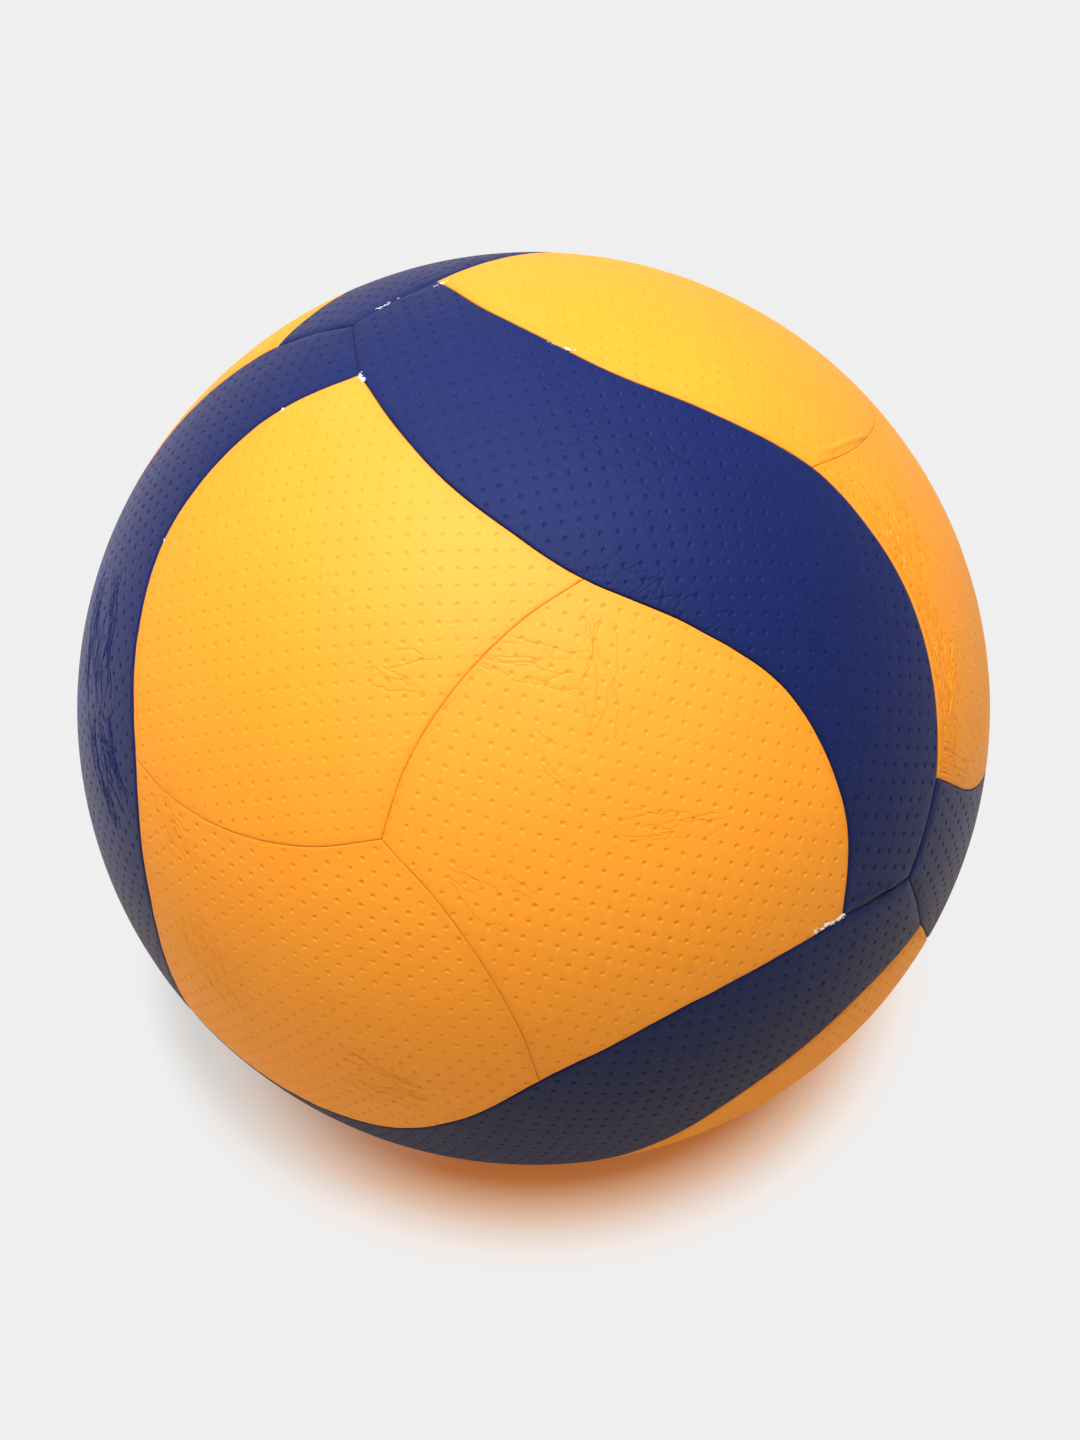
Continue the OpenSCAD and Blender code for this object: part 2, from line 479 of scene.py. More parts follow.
@dataclass
class Stroke:
    """A crease in the leather, or a fold that stands up where its depth is negative.

    Attributes:
        path: Places on the map in millimetres, one a row.
        depth: Depth in the middle of the crease.
        width: Half width at which it has mostly faded.
        mesh_step: Distance between two mesh points along it.
        mesh_rows: Where its rows of mesh points lie, in half widths.
        shoulder: Place, in half widths, and share of the depth of the ridge beside it.
        reach: Half widths at which it has wholly faded.
    """

    path: Array
    depth: float
    width: float
    mesh_step: float = 0.38
    mesh_rows: tuple[float, ...] = (-2.4, -1.1, 0.0, 1.1, 2.4)
    shoulder: Share = (1.9, 0.28)
    reach: float = 3.2

    def mesh_points(self) -> Array:
        """Places where the mesh needs points to hold this stroke.

        Returns:
            Places on the map, one a row.
        """
        lengths = lengths_along(self.path)
        at = np.linspace(0.0, lengths[-1], max(2, int(lengths[-1] / self.mesh_step)))
        middle = places_along(self.path, lengths, at)
        ahead = unit(np.gradient(middle, axis=0) + 1e-9)
        side = np.stack([-ahead[:, 1], ahead[:, 0]], axis=1)
        return np.vstack([middle + side * self.width * s for s in self.mesh_rows])

    def add_to(self, flat: Array, height: Array, mark: Array) -> None:
        """Adds the stroke to a surface, in place.

        Args:
            flat: Places on the map, one a row.
            height: Height of the surface at each place.
            mark: How deep in a crease each place lies, 0 to 1.
        """
        reach = self.width * self.reach
        low, high = self.path.min(0) - reach, self.path.max(0) + reach
        near = np.flatnonzero(((flat > low) & (flat < high)).all(1))
        if not len(near):
            return
        a, b = self.path[:-1], self.path[1:]
        ab = b - a
        squares = (ab**2).sum(1)
        to = flat[near][:, None, :] - a[None]
        t = np.clip((to * ab).sum(2) / squares, 0.0, 1.0)
        gaps = np.linalg.norm(to - t[:, :, None] * ab, axis=2)
        best = gaps.argmin(1)
        rows = np.arange(len(near))
        gap = gaps[rows, best]
        place = (best + t[rows, best]) / len(a)
        fade = smooth_step(np.minimum(place, 1.0 - place) * 5.0 + 0.05)
        groove = np.exp(-((gap / self.width) ** 2))
        shoulder = np.exp(-(((gap - self.shoulder[0] * self.width) / self.width) ** 2))
        height[near] += fade * self.depth * (self.shoulder[1] * shoulder - groove)
        if self.depth > 0:
            mark[near] = np.maximum(mark[near], fade * groove)


class CreaseStyle(Enum):
    """How the creases of a patch run."""

    ROWS = "side by side"
    WEB = "crossing each other"


@dataclass(frozen=True)
class CreasePatch:
    """A place where the leather is creased.

    Attributes:
        middle: Middle of the patch on the map, in millimetres.
        size: Its length and width.
        angle: Degrees from the chart's first axis to its length.
        count: Number of creases.
        depth: Depth of the deepest of them.
        style: How they run.
        width: Half width of a crease.
        step: Length of each straight bit of a crease.
        pull_mm: Distance from a dimple's rim within which the rim pulls a crease to it.
    """

    middle: Share
    size: Share
    angle: float
    count: int
    depth: float = 0.06
    style: CreaseStyle = CreaseStyle.ROWS
    width: float = 0.17
    step: float = 0.75
    pull_mm: float = 1.1

    def strokes(self, rng: np.random.Generator, dimples: Dimples) -> list[Stroke]:
        """The creases of the patch: jagged lines that bend towards the rims of the dimples.

        Args:
            rng: Seeded random source.
            dimples: The dimples they run past.

        Returns:
            One stroke a crease.
        """
        made = []
        length, width = self.size
        in_rows = self.style is CreaseStyle.ROWS
        for _ in range(self.count):
            turn = math.radians(self.angle)
            turn += rng.normal(0, 0.08) if in_rows else rng.uniform(0, math.pi)
            run = length * (rng.uniform(0.3, 0.95) if in_rows else rng.uniform(0.15, 0.4))
            along, across = rng.uniform(-0.5, 0.5) * (length - run), rng.uniform(-0.5, 0.5) * width
            places = [set_out(self.middle, along, across, self.angle) - 0.5 * run * bearing(turn)]
            heading = turn
            for _ in range(max(3, int(run / self.step))):
                heading = turn + 0.6 * (heading - turn) + rng.normal(0, 0.3)
                places.append(places[-1] + self.step * bearing(heading))
            path = np.array(places)
            off = dimples.offset(path)
            gap = np.linalg.norm(off, axis=1)
            pull = np.clip(1.0 - np.abs(gap - dimples.radius) / self.pull_mm, 0.0, 1.0)[:, None]
            rim = off / np.maximum(gap, 1e-6)[:, None] * dimples.radius
            path = path + ((rim - off) * pull) @ dimples.axes
            depth, half_width = self.depth * rng.uniform(0.3, 1.0), self.width * rng.uniform(0.75, 1.25)
            made.append(Stroke(path, depth, half_width))
        return made


def relief(
    rng: np.random.Generator, points: Array, height: float, longest: float = 30.0, shortest: float = 8.0
) -> Array:
    """Slow unevenness of the stretched leather: a few seeded waves through the ball.

    Args:
        rng: Seeded random source.
        points: Points in millimetres, one a row.
        height: Height of the whole in millimetres.
        longest: The longest wave.
        shortest: The shortest wave.

    Returns:
        The height at each point.
    """
    count = 14
    lengths = np.geomspace(longest, shortest, count)
    waves = unit(rng.normal(size=(count, 3))) / lengths[:, None]
    phases = rng.uniform(0, 2 * math.pi, count)
    return height * np.sin(2 * math.pi * points @ waves.T + phases).mean(1) * math.sqrt(2.0)


class Outline:
    """The closed edge of a panel: where its wall stands, and how its leather rolls down to it."""

    def __init__(self, arcs: Sequence[Arc], radius: float, step: float) -> None:
        """Lays out the edge.

        Args:
            arcs: The smooth stretches of the seam line, clockwise seen from outside.
            radius: Radius of the ball in millimetres.
            step: Distance between two points of the edge.
        """
        self.radius = radius
        dirs, rolls = [], []
        for arc in arcs:
            lengths = lengths_along(arc.dirs) * radius
            at = np.linspace(0.0, lengths[-1], max(3, round(lengths[-1] / step)) + 1)[:-1]
            dirs.append(unit(places_along(arc.dirs, lengths, at)))
            roll = ROLLS[arc.seam]
            rolls += [(roll.width, roll.depth, roll.gap)] * len(at)
        self.roll_width, self.roll_depth, gap = (self._evened(values) for values in np.array(rolls).T)
        line = np.vstack(dirs)
        normals = unit(np.cross(np.roll(line, -1, axis=0), line))
        before = np.roll(normals, 1, axis=0)
        self.insets = (before + normals) / (1.0 + (before * normals).sum(1, keepdims=True))
        self.dirs = unit(line + self.insets * gap[:, None] / 2.0 / radius)
        self.normals = unit(np.cross(np.roll(self.dirs, -1, axis=0), self.dirs))
        self.tangents = np.cross(self.dirs, self.normals)
        self.spans = radius * np.linalg.norm(np.roll(self.dirs, -1, axis=0) - self.dirs, axis=1)
        self.length = float(self.spans.sum())
        self.place = np.concatenate([[0.0], np.cumsum(self.spans)[:-1]])

    @staticmethod
    def _evened(values: Array, reach: int = 4) -> Array:
        """Values round the loop, each the mean of its neighbours."""
        return sum(np.roll(values, k) for k in range(-reach, reach + 1)) / (2 * reach + 1)

    def __len__(self) -> int:
        """Number of points of the edge."""
        return len(self.dirs)

    def varied(self, rng: np.random.Generator, amount: float) -> Array:
        """A factor for each point of the edge that wanders round 1.

        Args:
            rng: Seeded random source.
            amount: How far it wanders.

        Returns:
            One factor a point.
        """
        turns = np.arange(3, 42, 3)
        phases = rng.uniform(0, 2 * math.pi, len(turns))
        waves = np.sin(2 * math.pi * self.place[:, None] / self.length * turns + phases)
        return 1.0 + amount * waves.mean(1) * math.sqrt(2.0 * len(turns)) / 1.5

    def ring(self, inset: Array) -> Array:
        """The edge moved in by a distance at each point."""
        return unit(self.dirs + self.insets * inset[:, None] / self.radius)

    def nearest(self, dirs: Array) -> tuple[Array, Array]:
        """How far places lie from the edge.

        Args:
            dirs: Directions of the places, one a row.

        Returns:
            The distance to the edge in millimetres, and the nearest point's index.
        """
        near = np.empty(len(dirs), int)
        for part in chunks(len(dirs)):
            near[part] = (dirs[part] @ self.dirs.T).argmax(1)
        best = np.full(len(dirs), np.inf)
        for step in (0, -1):
            i = (near + step) % len(self)
            side = self.radius * (dirs * self.normals[i]).sum(1)
            along = self.radius * (dirs * self.tangents[i]).sum(1)
            past = np.maximum(np.maximum(-along, along - self.spans[i]), 0.0)
            best = np.minimum(best, np.hypot(side, past))
        return best, near


@dataclass
class PanelPlan:
    """What makes one panel differ from the others of its kind.

    Attributes:
        kind: Which shape of panel.
        index: Which panel of its kind, counted from 1.
        dimples: Its dimples.
        patches: Where its leather is creased.
        strokes: Single creases and folds.
        gathers: Fine creases that run beside a seam: where they start and end, as shares of the
            edge, their least and greatest distance to it in millimetres, and their number.
        hole_radius: Radius of the hole for the valve in millimetres, or zero.
    """

    kind: Kind
    index: int
    dimples: Dimples
    patches: tuple[CreasePatch, ...] = ()
    strokes: tuple[Stroke, ...] = ()
    gathers: tuple[tuple[float, float, float, float, int], ...] = ()
    hole_radius: float = 0.0

    @property
    def name(self) -> str:
        """Name of the CAD node that the panel replaces."""
        return f"{self.kind.value}_panel_{self.index}"


@dataclass
class PanelMesh:
    """A closed panel in millimetres, in the cube's frame, before its turn.

    Attributes:
        points: Its points, one a row.
        faces: Its triangles.
        inner: Whether each triangle belongs to the inner face.
        marks: Named values for each point, from 0 to 1, or to 1.4 for the dimples.
    """

    points: Array
    faces: Array
    inner: Array
    marks: dict[str, Array]


@dataclass
class PanelMaker:
    """Makes the closed, dimpled solids of the panels. Lengths are in millimetres.

    Attributes:
        pattern: The seams.
        radius: Radius of the ball.
        thickness: Thickness of a panel.
        edge_step: Distance between two points of an edge.
        inner_step: Distance between two points of the plain inner face, so small that its flat
            triangles stay clear of the foam 0.05 mm below.
        seed: Seed of everything that varies.
        hole_points: Points round the valve's hole.
        point_gap: Places nearer to each other than this become one.
        clear_share: How far the dimples' and creases' points stay from the edge, in roll widths.
        hole_clear: How far they stay from the hole.
        dimple_rings: Rings of points in a dimple, as a share of its radius and their number.
        roll_shares: Rows of points along the rolled edge, in roll widths.
        yellow_middle_share: The middle of the yellow panels' map.
        outlines: The edge of each kind of panel.
        charts: The map of each kind of panel.
    """

    pattern: SeamPattern
    radius: float
    thickness: float = 1.2
    edge_step: float = 0.7
    inner_step: float = 2.5
    seed: int = 18
    hole_points: int = 48
    point_gap: float = 0.09
    clear_share: float = 1.05
    hole_clear: float = 1.5
    dimple_rings: tuple[tuple[float, int], ...] = ((0.45, 6), (0.8, 9), (1.0, 11), (1.25, 11))
    roll_shares: tuple[float, ...] = (0.05, 0.14, 0.27, 0.45, 0.68, 1.0, 1.35)
    yellow_middle_share: Share = (0.475, -0.653)
    outlines: dict[Kind, Outline] = field(default_factory=dict)
    charts: dict[Kind, Chart] = field(default_factory=dict)

    def __post_init__(self) -> None:
        """Lays out the edge and the map of each kind of panel."""
        for kind in Kind:
            self.outlines[kind] = Outline(self.pattern.arcs(kind), self.radius, self.edge_step)
        middle = self.pattern.strip_dir(self.yellow_middle_share)
        face = self.pattern.strip_dir(self.pattern.face_share)
        right = unit(face - middle * (face @ middle))
        self.charts[Kind.YELLOW] = RoundChart(middle, right, self.radius)
        root = math.sqrt(0.5)
        along, across = np.array([root, -root, 0.0]), np.array([root, root, 0.0])
        self.charts[Kind.BLUE] = StripChart(along, across, self.radius)

    def strokes(self, plan: PanelPlan, rng: np.random.Generator) -> list[Stroke]:
        """Every crease and fold of a panel.

        Args:
            plan: The panel.
            rng: Seeded random source.

        Returns:
            The strokes on the panel's map.
        """
        outline, chart = self.outlines[plan.kind], self.charts[plan.kind]
        made = list(plan.strokes)
        for patch in plan.patches:
            made += patch.strokes(rng, plan.dimples)
        for start, end, nearest, furthest, count in plan.gathers:
            for _ in range(count):
                middle = rng.uniform(start, end) * outline.length
                half = rng.uniform(0.2, 0.5) * (end - start) * outline.length
                on = (outline.place > middle - half) & (outline.place < middle + half)
                if on.sum() < 6:
                    continue
                inset = rng.uniform(nearest, furthest) * outline.varied(rng, 0.05)
                path = chart.to_flat(outline.ring(inset)[on])
                made.append(Stroke(path, rng.uniform(0.04, 0.11), rng.uniform(0.16, 0.3)))
        return made

    def flat_points(self, plan: PanelPlan, strokes: Iterable[Stroke]) -> Array:
        """Where the outer face of a panel needs points, apart from its edge.

        Args:
            plan: The panel.
            strokes: Its creases and folds.

        Returns:
            Places on the panel's map.
        """
        outline, chart, dimples = self.outlines[plan.kind], self.charts[plan.kind], plan.dimples
        reach = np.linalg.norm(chart.to_flat(outline.dirs), axis=1).max()
        centres = dimples.lattice(reach)
        places = [centres, *(dimples.lattice(reach, half) for half in ((0.5, 0.5), (0.5, 0.0), (0.0, 0.5)))]
        for share, count in self.dimple_rings:
            for k in range(count):
                turn = 2 * math.pi * (k + 0.5 * share) / count
                places.append(centres + share * dimples.radius * bearing(turn))
        places += [s.mesh_points() for s in strokes]
        rings = [chart.to_flat(outline.ring(outline.roll_width * s)) for s in self.roll_shares]
        if plan.hole_radius:
            rings += [circle(self.hole_points) * (plan.hole_radius + s) for s in self.roll_shares]
        rim = [chart.to_flat(outline.dirs)]
        loose, fixed = np.vstack(places), np.vstack(rings)
        loose, fixed = loose[inside(rim, loose)], fixed[inside(rim, fixed)]
        inset, near = outline.nearest(chart.to_dirs(loose))
        keep = inset > outline.roll_width[near] * self.clear_share
        if plan.hole_radius:
            keep &= np.linalg.norm(loose, axis=1) > plan.hole_radius + self.hole_clear
        inset, _ = outline.nearest(chart.to_dirs(fixed))
        hole = np.linalg.norm(fixed, axis=1) > plan.hole_radius + 0.01
        fixed = fixed[(inset > 0.03) & hole]
        both = np.vstack([fixed, loose[keep]])
        cells = np.round(both / self.point_gap).astype(np.int64)
        _, first = np.unique(cells, axis=0, return_index=True)
        return both[np.sort(first)]

    def triangles(self, flat: Array, loops: Sequence[int]) -> tuple[Array, Array]:
        """Joins places on the map into triangles inside the outer loop and outside the others.

        Args:
            flat: Places on the map: the loops first, then the rest.
            loops: Number of places in each loop, the outer one first.

        Returns:
            The places that came back, loops first, and the triangles.
        """
        starts = [0, *np.cumsum(loops).tolist()]
        edges = [pair for first, count in zip(starts, loops) for pair in closed_pairs(count, first)]
        found = delaunay_2d_cdt([Vector(p) for p in flat.tolist()], edges, [], 0, 1e-7, False)
        points = np.array([(v.x, v.y) for v in found[0]])
        faces = np.array([f for f in found[2] if len(f) == 3], int)
        on_rim = np.flatnonzero((faces < starts[-1]).all(1))
        rims = [flat[first : first + count] for first, count in zip(starts, loops)]
        faces = np.delete(faces, on_rim[~inside(rims, points[faces[on_rim]].mean(1))], axis=0)
        a, b, c = (points[faces[:, k]] for k in range(3))
        double = (b[:, 0] - a[:, 0]) * (c[:, 1] - a[:, 1]) - (b[:, 1] - a[:, 1]) * (c[:, 0] - a[:, 0])
        faces[double < 0] = faces[double < 0][:, ::-1]
        return points, faces

    def height(
        self, plan: PanelPlan, flat: Array, dirs: Array, strokes: Iterable[Stroke], rng: np.random.Generator
    ) -> tuple[Array, dict[str, Array]]:
        """Height of the outer face over the ball's own surface, in millimetres.

        Args:
            plan: The panel.
            flat: Places on the panel's map.
            dirs: Their directions.
            strokes: Its creases and folds.
            rng: Seeded random source.

        Returns:
            The height of each place, and named values for the finish.
        """
        outline, dimples = self.outlines[plan.kind], plan.dimples
        inset, near = outline.nearest(dirs)
        widths = (outline.roll_width * outline.varied(rng, 0.22))[near]
        depths = (outline.roll_depth * outline.varied(rng, 0.2))[near]
        if plan.hole_radius:
            rim = np.linalg.norm(flat, axis=1) - plan.hole_radius
            closer = rim < inset
            inset = np.where(closer, rim, inset)
            widths = np.where(closer, HOLE_ROLL.width, widths)
            depths = np.where(closer, HOLE_ROLL.depth, depths)
        share = np.clip(inset / widths, 0.0, 1.0)
        height = -depths * (1.0 - np.sqrt(np.clip(1.0 - (1.0 - share) ** 2.0, 0.0, 1.0)))
        off = np.linalg.norm(dimples.offset(flat), axis=1)
        bowl = np.clip(1.0 - (off / dimples.radius) ** dimples.flatness, 0.0, 1.0)
        patchy = relief(rng, dirs * self.radius, 1.0, longest=40.0, shortest=12.0)
        strength = np.clip(1.0 + 0.35 * patchy, 0.55, 1.4) * smooth_step(inset / 0.8)
        height -= dimples.depth * strength * bowl
        mark = np.zeros(len(flat))
        for stroke in strokes:
            stroke.add_to(flat, height, mark)
        height += relief(rng, dirs * self.radius, 0.05) * smooth_step(inset / 3.0)
        height = np.where(inset < 0.02, -depths, height)
        return height, {
            "seam": np.exp(-np.maximum(inset, 0.0) / 1.2),
            "crease": mark,
            "dimple": bowl * strength,
        }

    def rim(self, plan: PanelPlan) -> tuple[list[int], Array, Array]:
        """The edge of a panel, and that of its hole if it has one.

        Args:
            plan: The panel.

        Returns:
            Number of points in each loop, their places on the map, and their directions.
        """
        outline, chart = self.outlines[plan.kind], self.charts[plan.kind]
        flat, dirs = [chart.to_flat(outline.dirs)], [outline.dirs]
        if plan.hole_radius:
            flat.append(plan.hole_radius * circle(self.hole_points))
            dirs.append(chart.to_dirs(flat[-1]))
        return [len(loop) for loop in flat], np.vstack(flat), np.vstack(dirs)

    def face(self, plan: PanelPlan, places: Array) -> tuple[Array, Array, Array]:
        """Joins places within a panel's edge into a face.

        Args:
            plan: The panel.
            places: Places on the map apart from the edge.

        Returns:
            Its places on the map, the edge first, their directions, and its triangles.
        """
        loops, rim, rim_dirs = self.rim(plan)
        flat, faces = self.triangles(np.vstack([rim, places]), loops)
        dirs = self.charts[plan.kind].to_dirs(flat)
        dirs[: len(rim)] = rim_dirs
        return flat, dirs, faces

    def inner_places(self, plan: PanelPlan) -> Array:
        """Where the plain inner face of a panel needs points, apart from its edge.

        Args:
            plan: The panel.

        Returns:
            Places on the panel's map.
        """
        outline, chart = self.outlines[plan.kind], self.charts[plan.kind]
        loops, rim, _ = self.rim(plan)
        grid = Dimples(0.0, pitch=self.inner_step).lattice(np.linalg.norm(rim, axis=1).max())
        grid = grid[inside([rim[: loops[0]]], grid)]
        inset, _ = outline.nearest(chart.to_dirs(grid))
        clear_of_hole = np.linalg.norm(grid, axis=1) > plan.hole_radius * 1.5
        return grid[(inset > self.inner_step * 0.4) & clear_of_hole]

    def make(self, plan: PanelPlan) -> PanelMesh:
        """Makes the closed solid of a panel.

        Args:
            plan: The panel.

        Returns:
            Its mesh in millimetres, in the frame of the first panel of its kind.
        """
        kind_seed = 100 * list(Kind).index(plan.kind) + plan.index
        rng = np.random.default_rng([self.seed, kind_seed])
        strokes = self.strokes(plan, rng)
        flat, dirs, top = self.face(plan, self.flat_points(plan, strokes))
        height, marks = self.height(plan, flat, dirs, strokes, rng)
        outer = dirs * (self.radius + height)[:, None]
        _, low_dirs, low = self.face(plan, self.inner_places(plan))
        inner = low_dirs * (self.radius - self.thickness)
        walls, start = [], 0
        for count in self.rim(plan)[0]:
            walls += band(count, len(outer), start)
            start += count
        walls = np.array(walls)
        if self._outward(outer, top) < 0:
            top = top[:, ::-1]
        if self._outward(inner, low) > 0:
            low = low[:, ::-1]
        faces = np.vstack([top, self._matched(top, walls), low + len(outer)])
        is_inner = np.arange(len(faces)) >= len(top) + len(walls)
        marks = {key: np.concatenate([value, np.zeros(len(inner))]) for key, value in marks.items()}
        return PanelMesh(np.vstack([outer, inner]), faces, is_inner, marks)

    @staticmethod
    def _outward(points: Array, faces: Array) -> float:
        """Above zero if the triangles face away from the ball's centre."""
        a, b, c = (points[faces[:, k]] for k in range(3))
        return float((np.cross(b - a, c - a) * a).sum())

    @staticmethod
    def _matched(top: Array, walls: Array) -> Array:
        """Turns the walls' triangles round if they disagree with the face that they meet.

        Args:
            top: Triangles of the face.
            walls: Triangles of the walls.

        Returns:
            Triangles of the walls.
        """
        i, j = walls[0, 0], walls[0, 1]
        pairs = np.vstack([top[:, [0, 1]], top[:, [1, 2]], top[:, [2, 0]]])
        same_way = ((pairs[:, 0] == i) & (pairs[:, 1] == j)).any()
        return walls[:, ::-1] if same_way else walls


def linear(hex_colour: str) -> tuple[float, float, float, float]:
    """A written sRGB colour as the linear numbers that a shader takes.

    Args:
        hex_colour: Six hex digits after a hash.

    Returns:
        Red, green, blue and alpha.
    """
    parts = [int(hex_colour[k : k + 2], 16) / 255.0 for k in (1, 3, 5)]
    red, green, blue = (c / 12.92 if c <= 0.04045 else ((c + 0.055) / 1.055) ** 2.4 for c in parts)
    return red, green, blue, 1.0


def per_metre(size_mm: float) -> float:
    """Scale of a texture whose features are a real size in millimetres."""
    return 1.0 / (size_mm * MM)


def add(tree: Tree, kind: str, inputs: dict[str | int, Any], **settings: Any) -> bpy.types.Node:
    """Adds a node with its settings, values and links.

    Args:
        tree: The material's or world's node tree.
        kind: The node's type, without its ShaderNode prefix.
        inputs: A value for each input, or the output that it is linked to.
        settings: The node's own properties.

    Returns:
        The node.
    """
    node = tree.nodes.new("ShaderNode" + kind)
    for key, value in settings.items():
        setattr(node, key, value)
    for key, value in inputs.items():
        if isinstance(value, Socket):
            tree.links.new(value, node.inputs[key])
        else:
            node.inputs[key].default_value = value
    return node


def blank_material(name: str) -> tuple[bpy.types.Material, Tree]:
    """Makes a material with no nodes.

    Args:
        name: Name of the material.

    Returns:
        The material and its node tree.
    """
    material = bpy.data.materials.new(name)
    material.use_nodes = True
    material.node_tree.nodes.clear()
    return material, material.node_tree


@dataclass(frozen=True)
class Finish:
    """What a piece is made of. Each finish works out the inputs of one shader.

    Attributes:
        name: Name of the material.
        colour: Its colour.
        second: The colour that its pattern mixes in.
    """

    name: str
    colour: str
    second: str

    def build(self) -> bpy.types.Material:
        """Makes the material.

        Returns:
            The material.
        """
        material, tree = blank_material(self.name)
        place = add(tree, "TexCoord", {}).outputs["Object"]
        shader = add(tree, "BsdfPrincipled", self.inputs(tree, place))
        add(tree, "OutputMaterial", {"Surface": shader.outputs[0]})
        return material

    def inputs(self, tree: Tree, place: Socket) -> dict[str, Any]:
        """The shader's inputs, each a value or the output that it is linked to."""
        raise NotImplementedError

    def mixed(self, tree: Tree, pattern: Socket, least: float, most: float, share: float = 1.0) -> Socket:
        """Mixes the second colour into the first by a pattern.

        Args:
            tree: The material's node tree.
            pattern: The pattern's value.
            least: Where the pattern's value begins to mix.
            most: Where it mixes by the full share.
            share: How far the colour goes to the second one there.

        Returns:
            The mixed colour.
        """
        span = {"Value": pattern, "From Min": least, "From Max": most, "To Min": 0.0, "To Max": share}
        colours = {"A": linear(self.colour), "B": linear(self.second)}
        amount = add(tree, "MapRange", span).outputs["Result"]
        return add(tree, "Mix", {"Factor": amount, **colours}, data_type="RGBA").outputs["Result"]


@dataclass(frozen=True)
class PuLeather(Finish):
    """Polyurethane synthetic leather, embossed while hot and sewn or glued over foam.

    To the eye it is a soft, nearly matt skin with a broad pale sheen and a grain as fine as paper.
    Its dimples and creases are painted a slightly deeper colour as painted shade, and it is darker
    beside the seams. Its colour drifts to the second one in slow clouds.

    Attributes:
        deep: The colour painted in as shade in creases and at the bottom of dimples, also mixed in beside the
            seams.
        roughness: Its roughness.
        gloss: Level of its reflection, 0.5 for a plain plastic.
        dimple_shade: How far a dimple's bottom goes to the deep colour, as painted shade.
        crease_shade: How far a crease does, as painted shade.
        seam_share: How far the leather beside a seam does.
        sheen: Weight of the soft light that its grain catches near the ball's outline.
        sheen_tint: Colour of that light.
    """

    deep: str
    roughness: float
    gloss: float
    dimple_shade: float
    crease_shade: float = 0.24
    seam_share: float = 0.22
    sheen: float = 0.0
    sheen_tint: str = "#FFFFFF"

    def inputs(self, tree: Tree, place: Socket) -> dict[str, Any]:
        """Works out the shader's inputs.

        Args:
            tree: The material's node tree.
            place: The place on the object.

        Returns:
            A value or an output for each input.
        """
        slow = {"Vector": place, "Scale": per_metre(22), "Detail": 3.0, "Roughness": 0.6}
        base = self.mixed(tree, add(tree, "TexNoise", slow).outputs["Fac"], 0.35, 0.7)
        # The deep colour is painted shade in the dimples and creases, and also darkens the leather beside the
        # seams
        depth: Any = 0.0
        shares = {"dimple": self.dimple_shade, "crease": self.crease_shade, "seam": self.seam_share}
        for key, share in shares.items():
            mark = add(tree, "Attribute", {}, attribute_name=key).outputs["Fac"]
            more = {0: mark, 1: share, 2: depth}
            depth = add(tree, "Math", more, operation="MULTIPLY_ADD", use_clamp=True).outputs[0]
        colours = {"Factor": depth, "A": base, "B": linear(self.deep)}
        # The real grain is about 0.4 mm, too fine for the picture, so it is drawn at 1.1 mm with
        # finer detail in it
        fine = {"Vector": place, "Scale": per_metre(1.1), "Detail": 6.0, "Roughness": 0.72}
        grain = add(tree, "TexNoise", fine).outputs["Fac"]
        cells = {"Vector": place, "Scale": per_metre(0.45)}
        pebbles = add(tree, "TexVoronoi", cells, feature="DISTANCE_TO_EDGE").outputs["Distance"]
        pores = add(tree, "MapRange", {"Value": pebbles, "From Min": 0.0, "From Max": 0.18}).outputs["Result"]
        relief = add(tree, "Math", {0: grain, 1: 3.0, 2: pores}, operation="MULTIPLY_ADD").outputs[0]
        bump = add(tree, "Bump", {"Height": relief, "Strength": 0.55, "Distance": 0.05 * MM})
        dull = {"To Min": self.roughness - 0.04, "To Max": self.roughness + 0.05}
        rough = add(tree, "MapRange", {"Value": grain, "From Min": 0.3, "From Max": 0.7, **dull})
        return {
            "Base Color": add(tree, "Mix", colours, data_type="RGBA").outputs["Result"],
            "Roughness": rough.outputs["Result"],
            "IOR": 1.5,
            "Specular IOR Level": self.gloss,
            "Sheen Weight": self.sheen,
            "Sheen Roughness": 0.35,
            "Sheen Tint": linear(self.sheen_tint),
            "Normal": bump.outputs["Normal"],
        }


@dataclass(frozen=True)
class Rubber(Finish):
    """Cured rubber, moulded or dipped: dull, dark or tan, with faint dust in its fine orange peel.

    Attributes:
        roughness: Its roughness.
        grain_mm: Size of the orange peel in millimetres.
    """

    roughness: float
    grain_mm: float

    def inputs(self, tree: Tree, place: Socket) -> dict[str, Any]:
        """Works out the shader's inputs.

        Args:
            tree: The material's node tree.
            place: The place on the object.

        Returns:
            A value or an output for each input.
        """
        fine = {"Vector": place, "Scale": per_metre(self.grain_mm), "Detail": 4.0, "Roughness": 0.55}
        slow = {"Vector": place, "Scale": per_metre(self.grain_mm * 6), "Detail": 5.0, "Roughness": 0.7}
        peel, dust = (add(tree, "TexNoise", noise).outputs["Fac"] for noise in (fine, slow))
        dull = {"To Min": self.roughness - 0.06, "To Max": self.roughness + 0.06}
        bump = add(tree, "Bump", {"Height": peel, "Strength": 0.3, "Distance": 0.06 * self.grain_mm * MM})
        rough = add(tree, "MapRange", {"Value": peel, "From Min": 0.3, "From Max": 0.7, **dull})
        return {
            "Base Color": self.mixed(tree, dust, 0.42, 0.8, 0.35),
            "Roughness": rough.outputs["Result"],
            "IOR": 1.52,
            "Normal": bump.outputs["Normal"],
        }


